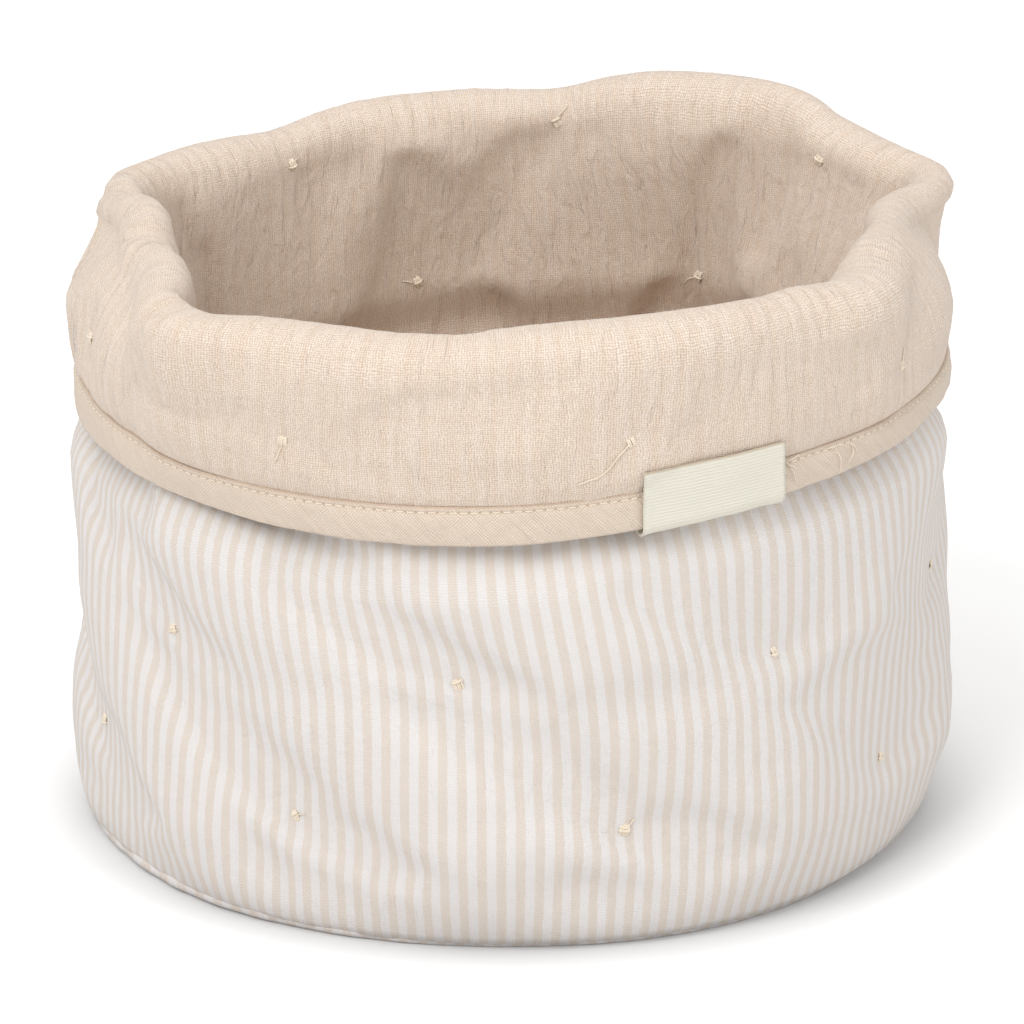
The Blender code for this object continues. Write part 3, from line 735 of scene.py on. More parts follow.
def double_gauze():
    """Soft open muslin in two layers, whose joints draw it into faint bands and dimples, with
    painted shade in them and between its threads.
    """
    material, tree, shader, place = new_material("sand muslin", 0.95, 0.2)
    close = put(tree, "VectorMath", place, (1, MUSLIN_OPEN, 1), operation="MULTIPLY").outputs[0]
    threads = use(tree, weave, close, pitch=MUSLIN_PITCH, unevenness=0.4)
    slubs = use(tree, streaks, place, pitch=MUSLIN_PITCH, length=16 * MM)
    creases = use(tree, crumples, place, size=3.5 * MM, stretch=3)
    caught = use(tree, joints, place, band=BAND_PITCH, step=JOINT_PITCH)
    # Painted shade between the threads; the grain is the threads' own uneven tone
    hollow = ramp(tree, threads["Height"], 0.15, 0.95, 1, 0)
    grain = ramp(tree, threads["Grain"], 0.35, 0.65, -0.22, 0.22)
    shade = mixed(tree, calc(tree, "ADD", hollow, grain), MUSLIN_LIGHT, MUSLIN_DARK)
    streaky = calc(tree, "MULTIPLY_ADD", slubs["Upright"], 0.65,
                   calc(tree, "MULTIPLY", slubs["Level"], 0.35))
    darkening = ramp(tree, streaky, 0.35, 0.65, 0, 0.5)
    # Painted shade: the joints' bands and dimples are darkened, over the real slub streaks
    darkening = calc(tree, "MULTIPLY_ADD", caught["Band"], 0.25, darkening)
    darkening = calc(tree, "MULTIPLY_ADD", caught["Dimple"], 0.25, darkening)
    feed(tree, shader["Base Color"], mixed(tree, darkening, shade, MUSLIN_SHADE, "MULTIPLY"))
    bumps(tree, shader, (creases["Height"], 0.9 * MM), (caught["Dimple"], -0.16 * MM),
          (caught["Band"], -0.2 * MM), (threads["Height"], 0.09 * MM))
    return material


def striped_cotton():
    """White cotton with sand stripes woven in, whose threads cross at every stripe."""
    material, tree, shader, place = new_material("striped cotton", 0.92, 0.1)
    threads = use(tree, weave, place, pitch=COTTON_PITCH, unevenness=0.4)
    slubs = use(tree, streaks, place, pitch=COTTON_PITCH, length=15 * MM)
    creases = use(tree, crumples, place, size=4 * MM, stretch=1.8)
    sand = use(tree, stripes, place, pitch=CLOTH_ROUND / STRIPES_ROUND, unevenness=0.12)["Sand"]
    covered = calc(tree, "MULTIPLY_ADD", threads["Upright thread"], 0.3, 0.7)
    shade = mixed(tree, calc(tree, "MULTIPLY", sand, covered), WHITE_YARN, SAND_YARN)
    # Painted shade between the threads
    hollow = ramp(tree, threads["Height"], 0, 1, 0.9, 0)
    feed(tree, shader["Base Color"], mixed(tree, hollow, shade, COTTON_GAP_SHADE, "MULTIPLY"))
    bumps(tree, shader, (creases["Height"], 0.5 * MM), (threads["Height"], 0.1 * MM),
          (slubs["Upright"], 0.1 * MM))
    return material


cotton, muslin = striped_cotton(), double_gauze()
cover_places = cloth_places(columns, row_distances)
striped_cover = shell("striped_cover", striped_face, striped_face - normals * COVER_CLOTH,
                      cover_places)
finish_piece(striped_cover, "striped_cotton", cotton, "side_outer_panel")
muslin_cover = shell("muslin_lining_and_cuff", muslin_face + normals * COVER_CLOTH, muslin_face,
                     cloth_places(columns, muslin_distances))
finish_piece(muslin_cover, "sand_muslin", muslin, "side_lining")


# The wadding.
# Real: a sheet of matted polyester fibre that fills the side between its covers. It is seen
# only where they are lifted.

WADDING_EASE = COVER_CLOTH + 0.15 * MM
FIBRE_LIGHT, FIBRE_SHADE = (0.90, 0.90, 0.89), (0.80, 0.80, 0.79)


def wadding():
    """Matted polyester fibre, bluish white and hairy."""
    material, tree, shader, place = new_material("polyester wadding", 1.0, 0.3)
    tufts = use(tree, crumples, place, size=2 * MM, stretch=1.0)
    hairs = use(tree, streaks, place, pitch=0.3 * MM, length=6 * MM)
    # Painted shade: the fibre is darker low between its tufts and lighter on them
    feed(tree, shader["Base Color"], mixed(tree, tufts["Height"], FIBRE_SHADE, FIBRE_LIGHT))
    bumps(tree, shader, (tufts["Height"], 1.2 * MM), (hairs["Upright"], 0.2 * MM))
    return material


fibre = wadding()
core = shell("side_wadding_pad", striped_face - normals * WADDING_EASE,
             muslin_face + normals * WADDING_EASE, cover_places)
finish_piece(core, "wadding", fibre, "side_wadding")


# The base.
# Real: a padded round base, striped cotton under and muslin inside, sewn to the side's
# lower edge; the turned seam makes a wavy roll that the basket stands on.

BASE_THICKNESS = 9 * MM
BASE_EDGE_GAP = 0.5 * MM
BASE_CENTRE = 3 * MM          # radius of the ring where each disc is capped
ROLL_WIDTH, ROLL_WAVE = 3.0 * MM, 0.5 * MM
# How far the seam's roll comes out from under the side, in sixteen directions
roll_shares = (0.35, 0.5, 0.3, 0.3, 0.3, 0.4, 0.5, 0.5,
               0.6, 0.6, 0.6, 0.7, 0.8, 0.95, 1.0, 0.75)
ROLL_LUMP, BASE_LUMP = 9 * MM, 30 * MM
UNDER_LIFT, LINING_PUFF, LINING_DIP = 0.8 * MM, 1.4 * MM, 1.8 * MM
UNDER_EDGE_SHARE = 0.25       # over this share of the way in, the cotton lifts off the floor
LINING_EDGE = 9 * MM          # over this far in, the lining rises from its seam
LINING_FULL = 0.6             # of a lump: the lining is more puffed up than sunk
ROLL_CELLS, BASE_CELLS = 12, 34

roll_turn = np.linspace(0, math.pi, ROLL_CELLS)
inward = np.linspace(0, 1, BASE_CELLS)
roll_radius = (SEAM_HEIGHT - PLY_GAP) / 2
centre_inset = foot_radius - BASE_CENTRE
level_out = level_way(column_directions)[:, None]


def lumps(points, size):
    """Smooth uneven values from about -1 to 1 over points, in lumps of one size."""
    found = [noise.noise(point) for point in (points / size).reshape(-1, 3).tolist()]
    return np.array(found).reshape(points.shape[:-1]) * 2


def disc(insets, heights):
    """Rings of points over the base, each this far inside its edge and this high."""
    foot = foot_radius + FOOT_SPREAD * around(foot_spread_shares, column_directions)
    points = level_out * (foot[:, None] - insets)[..., None]
    points[..., 2] = heights
    return points


def under_face(depth):
    """The striped base's face at this depth in the cloth: a rolled edge, then a flat disc."""
    bulge = np.concatenate((np.sin(roll_turn), 0 * inward[1:]))
    climb = np.concatenate((np.cos(roll_turn), 0 * inward[1:] - 1))
    face = disc(np.concatenate((0 * roll_turn, centre_inset * inward[1:])), 0)
    uneven = lumps(face[:, :1], ROLL_LUMP) * ROLL_WAVE
    width = ROLL_WIDTH * around(roll_shares, column_directions)[:, None]
    face += level_out * (bulge * (width - depth + uneven))[..., None]
    face[..., 2] = roll_radius + climb * (roll_radius - depth)
    face[:, :ROLL_CELLS, 2] += uneven * np.maximum(climb[:ROLL_CELLS], 0)
    hollow = (lumps(face, BASE_LUMP) + 1) / 2 * UNDER_LIFT
    face[:, ROLL_CELLS:, 2] += hollow[:, ROLL_CELLS:] * smooth(inward[1:] / UNDER_EDGE_SHARE)
    return face


def base_piece(name, front, back, plan, slot, material, node):
    """A disc of the base, whose places on its flat cloth are those seen from above."""
    flat = plan[..., :2]
    made = shell(name, front, back, np.concatenate((flat, flat[:1])), capped=True)
    return finish_piece(made, slot, material, node)


under = under_face(0)
base_cover = base_piece("striped_base", under_face(COVER_CLOTH), under, under,
                        "striped_cotton", cotton, "base_outer_panel")

lining_climb = (BASE_THICKNESS - SEAM_HEIGHT) / FIRST_TACK_HEIGHT
edge_inset = mix(SEAM_THICKNESS, PAD_THICKNESS + QUILT_RELIEF, lining_climb) / 2 + BASE_EDGE_GAP
lining_insets = mix(edge_inset, centre_inset, inward)
lining_rise = smooth((lining_insets - edge_inset) / LINING_EDGE)
lining_top = disc(lining_insets, BASE_THICKNESS - LINING_DIP * (1 - lining_rise))
lining_top[..., 2] += (lumps(lining_top, BASE_LUMP) + LINING_FULL) * LINING_PUFF * lining_rise
base_lining = base_piece("muslin_base_lining", lining_top, lining_top - (0, 0, COVER_CLOTH),
                         lining_top, "sand_muslin", muslin, "base_lining")

pad_low = disc(lining_insets, COVER_CLOTH + PLY_GAP + UNDER_LIFT)
base_pad = base_piece("base_wadding_pad", lining_top - (0, 0, WADDING_EASE), pad_low, lining_top,
                      "wadding", fibre, "base_wadding")


# The hem's binding.
# Real: bias tape folded over the cuff's raw hem and topstitched through, close under its
# upper edge; the muslin swells out of the ditch above it.

DITCH_DEPTH, DITCH_WIDTH = 0.7 * MM, 0.5 * MM
STITCH_LINE_MM = 1.5          # below the binding's upper edge
STITCH_DIP, STITCH_DIP_WIDTH = 0.45 * MM, 0.6 * MM
STITCH_PITCH = 2.8 * MM
BINDING_SWELL = 0.4 * MM
COARSE_PUCKER, COARSE_PUCKER_SIZE = 0.35 * MM, 14 * MM
FINE_PUCKER, FINE_PUCKER_SIZE = 0.14 * MM, 3.5 * MM
FINE_PER_CELL, TURN_CELLS = 3, 8
FACE_DISTANCES_MM = (0, 0.3, 0.7, 1.1, STITCH_LINE_MM, 1.9, 2.4, 3.2, 4.5, 6, 7.5, 8.8, 10)
TAPE_LIGHT, TAPE_DARK = (0.805, 0.695, 0.59), (0.57, 0.46, 0.365)
# TAPE_SHADE is the colour of painted shade in the binding's ditch and along its stitch line, and
# on the tag's top edge
TAPE_SHADE = (0.68, 0.57, 0.47)
TAPE_PITCH, BIAS = 0.6 * MM, math.radians(45)

stitch_line = STITCH_LINE_MM * MM
face_distances = np.array(FACE_DISTANCES_MM) * MM
turn_under = np.linspace(0, math.pi, TURN_CELLS + 2)[1:-1]


def finer(line):
    """Add points between those of a closed ring, on a smooth curve through them."""
    near = (np.roll(line, -k, axis=0)[:, None] for k in (-1, 0, 1, 2))
    t = (np.arange(FINE_PER_CELL) / FINE_PER_CELL).reshape((1, -1) + (1,) * (line.ndim - 1))
    return curve_through(*near, t).reshape((-1,) + line.shape[1:])


hem_end, binding_edge = finer(middle[:, -1]), finer(middle[:, binding_row])
hem_normal, edge_normal = finer(normals[:, -1]), finer(normals[:, binding_row])
hem_down = unit(hem_end - binding_edge)


def wrapped(distance, clearance):
    """Points this far down the binding and this clear of the hem's middle, cuff side out."""
    share = (distance / BINDING_HEIGHT)[..., None]
    line = binding_edge[:, None] + (hem_end - binding_edge)[:, None] * np.minimum(share, 1)
    line = line + hem_down[:, None] * np.maximum(distance - BINDING_HEIGHT, 0)[..., None]
    normal = unit(mix(edge_normal[:, None], hem_normal[:, None], np.clip(share, 0, 1)))
    return line - normal * clearance[..., None]


def round_under(build_up):
    """The turn round the hem's lower edge: distances down and clearances."""
    down = BINDING_HEIGHT + (build_up - HEM_THICKNESS / 2) * np.sin(turn_under)
    return down, build_up * np.cos(turn_under)


ditch = DITCH_DEPTH * np.exp(-(face_distances / DITCH_WIDTH) ** 2)
dip = STITCH_DIP * np.exp(-((face_distances - stitch_line) / STITCH_DIP_WIDTH) ** 2)
swell = BINDING_SWELL * np.sin(math.pi * np.clip(face_distances / BINDING_HEIGHT, 0, 1))
face_clearances = binding_build_up - ditch - dip + swell
bottom_distances, bottom_clearances = round_under(binding_build_up)
section_distances = np.concatenate((face_distances, bottom_distances, face_distances[::-1]))
section_clearances = np.concatenate((face_clearances, bottom_clearances, -face_clearances[::-1]))

flat_wrap = wrapped(section_distances, section_clearances)
puckers = (lumps(flat_wrap, COARSE_PUCKER_SIZE) * COARSE_PUCKER
           + lumps(flat_wrap, FINE_PUCKER_SIZE) * FINE_PUCKER)
outward = np.clip(section_clearances / binding_build_up, -1, 1)
binding_front = wrapped(section_distances, section_clearances + puckers * outward)
binding_back = wrapped(np.minimum(section_distances, BINDING_HEIGHT + HEM_THICKNESS / 4),
                       section_clearances * (1 - BINDING_CLOTH / binding_build_up))
binding = shell("hem_binding", binding_back, binding_front,
                cloth_places(columns * FINE_PER_CELL, laid_out(flat_wrap)))


def bias_tape():
    """Plain cotton cut on the bias, with painted shade between its threads, in the ditch and along
    the row of stitches.
    """
    material, tree, shader, place = new_material("bias tape", 0.92, 0.15)
    turned = put(tree, "VectorRotate", place, rotation_type="Z_AXIS")
    turned.inputs["Angle"].default_value = BIAS
    threads = use(tree, weave, turned.outputs[0], pitch=TAPE_PITCH, unevenness=0.4)
    slubs = use(tree, streaks, turned.outputs[0], pitch=TAPE_PITCH, length=12 * MM)
    creases = use(tree, crumples, turned.outputs[0], size=3 * MM, stretch=2.5)
    # Painted shade between the threads; the slubs are the tape's own uneven tone
    hollow = ramp(tree, threads["Height"], 0.15, 0.95, 1, 0)
    darkening = ramp(tree, slubs["Upright"], 0.35, 0.65, 0, 0.12)
    shade = mixed(tree, calc(tree, "ADD", hollow, darkening), TAPE_LIGHT, TAPE_DARK)
    sides = split(tree, place)
    # Painted shade in the ditch under the muslin, and along the stitch line, deepest at the holes
    ditch = ramp(tree, sides[1], 0.3 * MM, 0.8 * MM, 0.45, 0)
    turn = calc(tree, "MULTIPLY", sides[0], math.tau * stitch_count / CLOTH_ROUND)
    off_line = calc(tree, "ABSOLUTE", calc(tree, "SUBTRACT", sides[1], stitch_line))
    on_line = ramp(tree, off_line, 0.15 * MM, 0.65 * MM, 1, 0)
    hole = ramp(tree, calc(tree, "COSINE", turn), 0.5, 0.9, 0.2, 0.6)
    painted_shade = calc(tree, "MAXIMUM", ditch, calc(tree, "MULTIPLY", on_line, hole))
    feed(tree, shader["Base Color"], mixed(tree, painted_shade, shade, TAPE_SHADE, "MULTIPLY"))
    bumps(tree, shader, (creases["Height"], 0.6 * MM), (threads["Height"], 0.1 * MM))
    return material


seam_line = binding_front[:, FACE_DISTANCES_MM.index(STITCH_LINE_MM)]
seam_reach = laid_out(np.concatenate((seam_line, seam_line[:1]))[None])
stitch_count = round(seam_reach[-1] / STITCH_PITCH)
finish_piece(binding, "bias_tape", bias_tape(), "rim_binding")


# The thread along the binding.
# Real: one row of sand topstitching, each stitch drawn into the tape at its two holes, with
# a few loose ends beside the label.

STITCH_LENGTH, STITCH_RADIUS = 2.1 * MM, 0.2 * MM
STITCH_RISE, STITCH_DIVE = 0.6, 2.4        # in radii: over the tape, and down at the holes
THREAD_SIDES, STITCH_CELLS = 6, 7
THREAD_PITCH, THREAD_THINNED = 0.6 * MM, 0.4
THREAD_LIGHT, THREAD_DARK = (0.90, 0.81, 0.68), (0.72, 0.60, 0.46)
# The loose ends: degrees from the front, degrees from the seam, length in mm
loose_ends = ((36.9, -45, 5), (37, 5, 4), (37.3, 40, 6), (44, -30, 6), (45.5, 50, 7),
              (48, 20, 5), (49, 90, 6))
END_RADIUS, END_LIFT, END_CELLS = 0.17 * MM, 1.3 * MM, 9
END_TURN, END_TOP_SHARE = math.radians(45), 0.7


def thread_material():
    """Twisted cotton thread, with painted shade in the grooves of its twist."""
    material, tree, shader, place = new_material("sand thread", 0.8, 0.1)
    sides = split(tree, place)
    turns = calc(tree, "ADD", calc(tree, "DIVIDE", sides[1], THREAD_PITCH), sides[0])
    twist = ridges(tree, turns)
    fibres = use(tree, streaks, place, pitch=0.1, length=2 * MM)
    # Painted shade in the twist's grooves, over the fibres' own uneven tone
    shade = calc(tree, "MULTIPLY", twist, calc(tree, "ADD", fibres["Level"], 0.5))
    feed(tree, shader["Base Color"], mixed(tree, shade, THREAD_DARK, THREAD_LIGHT))
    bumps(tree, shader, (twist, 0.06 * MM))
    return material


def threads_piece(name, strands):
    """Round threads as one mesh: each is its points, its radii and the way its top faces."""
    points, faces, places = [], [], []
    turns = np.arange(THREAD_SIDES) * math.tau / THREAD_SIDES
    first = 0
    for path, radii, top in strands:
        path = np.asarray(path)
        radii = np.broadcast_to(radii, len(path))
        along = unit(np.gradient(path, axis=0))
        aside = unit(np.cross(along, top))
        above = np.cross(aside, along)
        ring = aside[:, None] * np.cos(turns)[:, None] + above[:, None] * np.sin(turns)[:, None]
        points.append((path[:, None] + ring * radii[:, None, None]).reshape(-1, 3))
        reached = laid_out(path[None])
        for k in range(len(path) - 1):
            low, high = first + k * THREAD_SIDES, first + (k + 1) * THREAD_SIDES
            for m in range(THREAD_SIDES):
                n = (m + 1) % THREAD_SIDES
                faces.append((low + m, low + n, high + n, high + m))
                places += [((m + side) / THREAD_SIDES, reached[k + step])
                           for side, step in ((0, 0), (1, 0), (1, 1), (0, 1))]
        last = first + (len(path) - 1) * THREAD_SIDES
        for end, far in ((range(first + THREAD_SIDES - 1, first - 1, -1), 0),
                         (range(last, last + THREAD_SIDES), reached[-1])):
            faces.append(tuple(end))
            places += [(m / THREAD_SIDES, far) for m in range(THREAD_SIDES)]
        first = last + THREAD_SIDES
    mesh = mesh_from(name, np.concatenate(points), faces)
    mesh.uv_layers.new(name="cloth").data.foreach_set("uv", np.array(places).reshape(-1))
    return new_piece(mesh)


def read_round(values, distances):
    """Values that run with the seam line, read at these distances round it."""
    closed = np.concatenate((values, values[:1]))
    return np.stack([np.interp(distances % seam_reach[-1], seam_reach, closed[:, axis])
                     for axis in range(3)], -1)


stitch_share = np.linspace(-0.5, 0.5, STITCH_CELLS)
dive = (np.abs(stitch_share) * 2) ** 4
stitches = []
for number in range(stitch_count):
    spots = (number + 0.5) * seam_reach[-1] / stitch_count + stitch_share * STITCH_LENGTH
    out = -read_round(edge_normal, spots)
    path = read_round(seam_line, spots)
    path += out * (STITCH_RADIUS * (STITCH_RISE - STITCH_DIVE * dive))[:, None]
    stitches.append((path, STITCH_RADIUS * (1 - THREAD_THINNED * dive), out[0]))
for direction, lean, length in loose_ends:
    start = (math.radians(direction) - FIRST_TACK_DIRECTION) / math.tau * seam_reach[-1]
    share = np.linspace(0, 1, END_CELLS)
    angle = np.cumsum(np.full(END_CELLS, END_TURN / END_CELLS)) + math.radians(lean)
    steps = length * MM / END_CELLS
    spots = start + np.cumsum(np.cos(angle)) * steps
    out = -read_round(edge_normal, spots)
    path = read_round(seam_line, spots)
    path += read_round(hem_down, spots) * (np.cumsum(np.sin(angle)) * steps)[:, None]
    lift = END_LIFT * np.sin(math.pi * np.minimum(share, END_TOP_SHARE))
    path += out * (END_RADIUS + lift)[:, None]
    stitches.append((path, END_RADIUS * (1 - THREAD_THINNED * share), out[0]))
thread = thread_material()
topstitch = finish_piece(threads_piece("binding_topstitch", stitches), "sand_thread", thread)


# The label.
# Real: a bare cream tag of ribbed woven tape, folded over the bound hem and caught under
# its stitching, with its cut sides lifted a little.

TAG_DIRECTION = math.radians(26.5)
TAG_WIDTH, TAG_OVERLAP = 41 * MM, 6 * MM
TAG_CELLS, TAG_ROW = 44, 0.9 * MM
CUFF_ROWS = 4                 # rows of the cuff under the tag's overlap
TAG_SIDE_LIFT, TAG_WAVE, TAG_LUMP = 0.5 * MM, 0.25 * MM, 8 * MM
SIDE_LIFT_POWER = 12          # the higher, the closer the lift keeps to the cut sides
RIB_PITCH = 0.88 * MM
TAG_LIGHT, TAG_DARK = (0.80, 0.77, 0.67), (0.64, 0.58, 0.46)


def tag_material():
    """Cream tape with ribs woven across it, finer threads crossing them, and painted shade between
    the ribs.
    """
    material, tree, shader, place = new_material("cream woven tape", 0.75, 0.1)
    down = split(tree, place)[1]
    rib = calc(tree, "SINE", calc(tree, "MULTIPLY", down, math.tau / RIB_PITCH))
    threads = use(tree, weave, place, pitch=0.22 * MM, unevenness=0.2)
    slubs = use(tree, streaks, place, pitch=0.3 * MM, length=8 * MM)
    # Painted shade between the ribs: the tape is darker where they dip
    shade = mixed(tree, ramp(tree, rib, -1, 1, 0.3, 0), TAG_LIGHT, TAG_DARK)
    # Darker along the top edge: partly a faint sewn line, partly painted shade
    sewn_line_and_shade = ramp(tree, down, 0.2 * MM, 0.7 * MM, 0.8, 0)
    shade = mixed(tree, sewn_line_and_shade, shade, TAPE_SHADE, "MULTIPLY")
    shade = mixed(tree, calc(tree, "MULTIPLY", slubs["Level"], 0.12), shade, TAG_DARK)
    feed(tree, shader["Base Color"], shade)
    bumps(tree, shader, (ramp(tree, rib, -1, 1), 0.07 * MM), (threads["Height"], 0.05 * MM))
    return material


near_rows = slice(binding_row - CUFF_ROWS, binding_row + 1)
cuff_line, cuff_normal = finer(middle[:, near_rows]), finer(normals[:, near_rows])
cuff_puff = -(finer((muslin_face - middle)[:, near_rows]) * cuff_normal).sum(-1)
above_edge = row_distances[binding_row] - row_distances[near_rows]


def tag_path(distances, side, extra):
    """The tag's line at every fine column: over the cuff above the binding, then over it."""
    clear = binding_build_up + BINDING_SWELL + PLY_GAP + extra
    over = wrapped(np.maximum(distances, 0), np.full(len(distances), side * clear))
    for k in np.flatnonzero(distances < 0):
        share = np.interp(-distances[k], above_edge[::-1], np.arange(len(above_edge))[::-1])
        low = min(int(share), len(above_edge) - 2)
        line, normal, puff = (mix(values[:, low], values[:, low + 1], share - low)
                              for values in (cuff_line, cuff_normal, cuff_puff))
        lift = np.maximum(puff + PLY_GAP + extra, clear)
        over[:, k] = line - unit(normal) * (side * lift)[:, None]
    return over


def tag_face(extra):
    """The folded tag's face at this depth, over all the fine columns."""
    rows = np.arange(-TAG_OVERLAP, BINDING_HEIGHT, TAG_ROW)
    front, back = tag_path(rows, 1, extra), tag_path(rows, -1, extra)
    bottom = wrapped(*round_under(binding_build_up + BINDING_SWELL + PLY_GAP + extra))
    return np.concatenate((front, bottom, back[:, ::-1]), axis=1)


half_turn = TAG_WIDTH / (2 * (hem_radius + binding_build_up))
fine_step = math.tau / (columns * FINE_PER_CELL)
tag_spots = np.linspace(TAG_DIRECTION - half_turn, TAG_DIRECTION + half_turn, TAG_CELLS)
tag_columns = (tag_spots - FIRST_TACK_DIRECTION) / fine_step


def between_columns(grid):
    """A grid over the fine columns, read at the tag's own columns."""
    start = np.floor(tag_columns).astype(int)
    part = (tag_columns - start)[:, None, None]
    return mix(grid[start % len(grid)], grid[(start + 1) % len(grid)], part)


tag_outer, tag_inner = between_columns(tag_face(TAG_CLOTH)), between_columns(tag_face(0))
tag_out = unit(tag_outer - tag_inner)
tag_across = np.linspace(-0.5, 0.5, TAG_CELLS)
lift = TAG_SIDE_LIFT * (np.abs(tag_across) * 2) ** SIDE_LIFT_POWER
lift = (lift[:, None] + TAG_WAVE * (lumps(tag_outer, TAG_LUMP) + 1) / 2)[..., None]
tag_places = np.stack(np.meshgrid(tag_across * TAG_WIDTH, laid_out(tag_outer), indexing="ij"), -1)
tag = shell("woven_tag", tag_inner + tag_out * lift, tag_outer + tag_out * lift, tag_places,
            ring=False)
finish_piece(tag, "woven_tape", tag_material(), "woven_label")


# The tacks.
# Real: forty hand tacks of doubled sand thread through all three layers, each ending on
# both faces in a small knot of parallel strands that sinks into the quilting.

KNOT_LENGTH, KNOT_SPACING, KNOT_RADIUS = 3.4 * MM, 0.55 * MM, 0.3 * MM
KNOT_ARCH, KNOT_DIVE, KNOT_CELLS = 0.45 * MM, 0.7 * MM, 9
KNOT_LEAN, STRAND_ASIDE, CROSS_ASIDE = 0.3, 0.05 * MM, 0.4 * MM    # how unlike the knots are
KNOT_SUNK, CROSS_OVER = 0.5, 1.6           # in strand radii, for the knot and its cross strand
STRAND_LENGTHS = (0.8, 1.1)   # the least and the greatest, in lengths of the knot
STRAND_PINCH = 0.3            # how far the strands draw together at their ends
CROSS_REACH = 0.6             # to each side of the knot's middle, in widths of the knot
SHANK_RADIUS, SHANK_SHARES = 0.5 * MM, (-0.9, -0.3, 0.3, 0.9)
TAIL_RADIUS, TAIL_CELL = 0.19 * MM, 0.8 * MM
TAIL_LENGTH_MM, TAIL_CURL, TAIL_WANDER = (3, 8), 60, 0.2
TAIL_HOVER = 1.4              # in its radii, from the cloth to a tail's middle
CROSS_SHARE, TAIL_SHARE = 0.45, 0.5
# The thread ends that show on the cuff: degrees from straight down, length in mm
cuff_tails = {33: (38, 19), 34: (150, 6), 40: (10, 7)}
CUFF_CURL = 12

cloth_faces = {}
for side, points in ((1, striped_face), (-1, muslin_face)):
    cloth_faces[side] = BVHTree.FromPolygons(points.reshape(-1, 3).tolist(),
                                             grid_faces(row_count)[:, ::side].tolist())


def knot(random, centre, out, up):
    """Three to five strands side by side over a tack, some with one more across them."""
    across = np.cross(up, out)
    lean = random.normal(0, KNOT_LEAN)
    up, across = (up * math.cos(lean) + across * math.sin(lean),
                  across * math.cos(lean) - up * math.sin(lean))
    share = np.linspace(-1, 1, KNOT_CELLS)
    arch = KNOT_ARCH * (1 - share ** 2) - KNOT_DIVE * share ** 8
    count = random.integers(3, 6)
    found = []
    for number in range(count):
        aside = (number - (count - 1) / 2) * KNOT_SPACING
        length = KNOT_LENGTH / 2 * random.uniform(*STRAND_LENGTHS)
        path = centre + up * (share * length)[:, None] + out * arch[:, None]
        aside = aside * (1 - STRAND_PINCH * share ** 2) + random.normal(0, STRAND_ASIDE)
        path += across * aside[:, None]
        found.append((path, KNOT_RADIUS, out))
    if random.random() < CROSS_SHARE:
        path = centre + across * (share * count * KNOT_SPACING * CROSS_REACH)[:, None]
        over = out * (arch + CROSS_OVER * KNOT_RADIUS)[:, None]
        path += over + up * random.normal(0, CROSS_ASIDE)
        found.append((path, KNOT_RADIUS, out))
    return found


def tail(random, side, centre, out, up, known=None):
    """A thread end that lies on the cloth beside its knot, at random or as it is known."""
    length = random.uniform(*TAIL_LENGTH_MM) * MM
    heading = random.uniform(0, math.tau)
    curl = random.normal(0, TAIL_CURL)
    if known:
        heading, length, curl = math.radians(known[0]), known[1] * MM, CUFF_CURL
    across = np.cross(up, out)
    point, path = centre, []
    for _ in range(round(length / TAIL_CELL)):
        found, normal, _, _ = cloth_faces[side].find_nearest(point.tolist())
        path.append(np.array(found) + np.array(normal) * TAIL_RADIUS * TAIL_HOVER)
        point = point + (up * math.cos(heading) + across * math.sin(heading)) * TAIL_CELL
        heading += curl * TAIL_CELL + random.normal(0, TAIL_WANDER)
    return path, TAIL_RADIUS, out


for number, (i, j) in enumerate(tacks, 1):
    random = np.random.default_rng(number)
    up = unit(middle[i, min(j + 1, row_count - 1)] - middle[i, j - 1])
    shank = [middle[i, j] + normals[i, j] * halves[i, j] * share for share in SHANK_SHARES]
    strands = [(shank, SHANK_RADIUS, up)]
    for side, face in ((1, striped_face), (-1, muslin_face)):
        out = normals[i, j] * side
        strands += knot(random, face[i, j] + out * KNOT_RADIUS * KNOT_SUNK, out, up)
        known = cuff_tails.get(number) if side < 0 else None
        if random.random() < TAIL_SHARE or known:
            strands.append(tail(random, side, face[i, j], out, up, known))
    made = threads_piece(f"tack_knot_{number:02d}", strands)
    finish_piece(made, "sand_thread", thread, f"tack_{number:02d}")


# The paper floor.
# Real: plain white paper, seen as pure white but for the basket's short soft shadow, which a
# painted shadow round the foot deepens.

FLOOR_SIZE = 6.0
PAPER, PAPER_SEEN, PAPER_GLOW, PAPER_GRAIN = 0.85, 1.0, 0.1, 0.01
# A painted shadow: the paper's colour is darker in a ring round the basket's foot
PAINTED_SHADOW_DEPTH, PAINTED_SHADOW_REACH = 0.3, 18 * MM


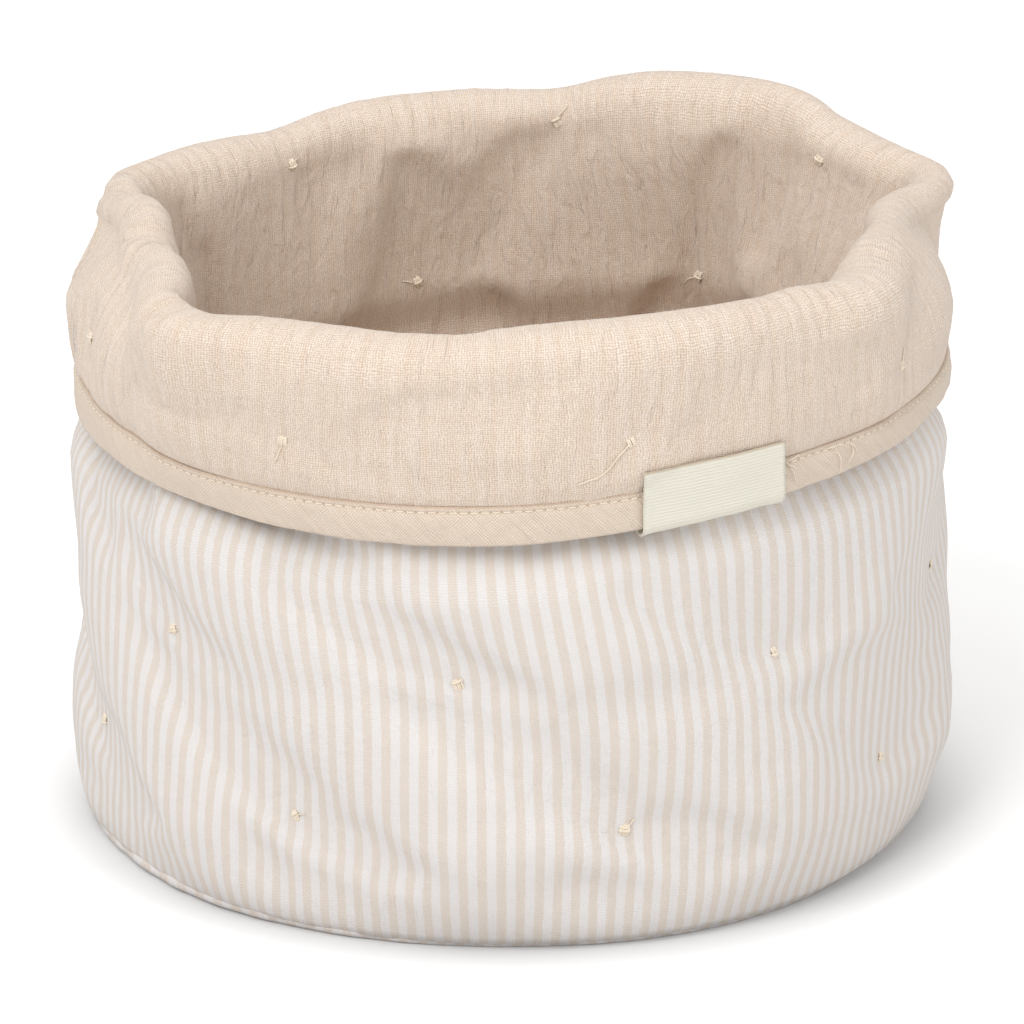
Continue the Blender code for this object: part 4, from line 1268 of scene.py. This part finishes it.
def paper():
    """White paper that reads as pure white to the camera, keeps the shadow and has a painted
    shadow round the foot.
    """
    material, tree, shader, _ = new_material("white paper", 1, 0, gloss=0)
    grain = set_values(put(tree, "TexNoise"), {"scale": 400})["Fac"]
    rays = put(tree, "LightPath").outputs
    seen = calc(tree, "MAXIMUM", rays["Is Camera Ray"], rays["Is Glossy Ray"])
    spot = split(tree, put(tree, "NewGeometry").outputs["Position"])
    away = calc(tree, "SQRT", calc(tree, "MULTIPLY_ADD", spot[0], spot[0],
                                   calc(tree, "MULTIPLY", spot[1], spot[1])))
    away = calc(tree, "DIVIDE", calc(tree, "SUBTRACT", away, foot_radius), PAINTED_SHADOW_REACH)
    away = calc(tree, "MAXIMUM", away, 0)
    fall = calc(tree, "EXPONENT", calc(tree, "MULTIPLY", calc(tree, "MULTIPLY", away, away), -1))
    # Painted shadow: the paper's colour darkens the nearer it lies to the foot
    painted_shadow_factor = calc(tree, "MULTIPLY_ADD", fall, -PAINTED_SHADOW_DEPTH, 1)
    white = calc(tree, "MULTIPLY_ADD", seen, PAPER_SEEN - PAPER, PAPER)
    white = calc(tree, "MULTIPLY", calc(tree, "MULTIPLY_ADD", grain, -PAPER_GRAIN, white), painted_shadow_factor)
    feed(tree, shader["Base Color"], join(tree, white, white, white))
    shader["Emission Color"].default_value = (1, 1, 1, 1)
    glow = calc(tree, "MULTIPLY", calc(tree, "MULTIPLY", seen, PAPER_GLOW), painted_shadow_factor)
    feed(tree, shader["Emission Strength"], glow)
    return material


far = FLOOR_SIZE / 2
floor_mesh = bpy.data.meshes.new("floor")
floor_mesh.from_pydata([(-far, -far, 0), (far, -far, 0), (far, far, 0), (-far, far, 0)],
                       [], [(0, 1, 2, 3)])
floor = new_piece(floor_mesh)
floor.data.materials.append(paper())


# The camera and the light.
# A long lens from the front, a little above; large soft lamps from the upper left, one
# overhead and a weaker one from the right, in an even white room.

AIM = Vector((0, 0, 0.083))
DISTANCE, ELEVATION, LENS, SENSOR = 2.5, math.radians(19.6), 323.4, 36
FAR_END = 20
ROOM_LIGHT = 0.65
# Name, size, power and place of each lamp
lamps = (("key", 2.0, 41, (-1.6, -2.4, 3.0)), ("left", 1.2, 8, (-0.9, -1.4, 1.5)),
         ("overhead", 1.6, 9.5, (-0.3, -0.2, 2.0)), ("fill", 1.6, 8, (1.4, -1.0, 0.9)))

camera = bpy.data.cameras.new("camera")
camera.lens = LENS
camera.sensor_width = SENSOR
camera.clip_end = FAR_END
camera_item = new_piece(camera)
camera_item.location = AIM + DISTANCE * Vector((0, -math.cos(ELEVATION), math.sin(ELEVATION)))
camera_item.rotation_euler = (math.pi / 2 - ELEVATION, 0, 0)
bpy.context.scene.camera = camera_item

# Each lamp is a soft square that faces the basket
for name, size, power, place in lamps:
    light = bpy.data.lights.new(name, "AREA")
    light.size = size
    light.energy = power
    lamp = new_piece(light)
    lamp.location = place
    lamp.rotation_euler = (AIM - Vector(place)).to_track_quat("-Z", "Y").to_euler()
room = bpy.data.worlds.new("room")
bpy.context.scene.world = room
room.use_nodes = True
background = room.node_tree.nodes["Background"].inputs
background["Color"].default_value = (1, 1, 1, 1)
background["Strength"].default_value = ROOM_LIGHT
bpy.context.scene.view_settings.view_transform = "Standard"
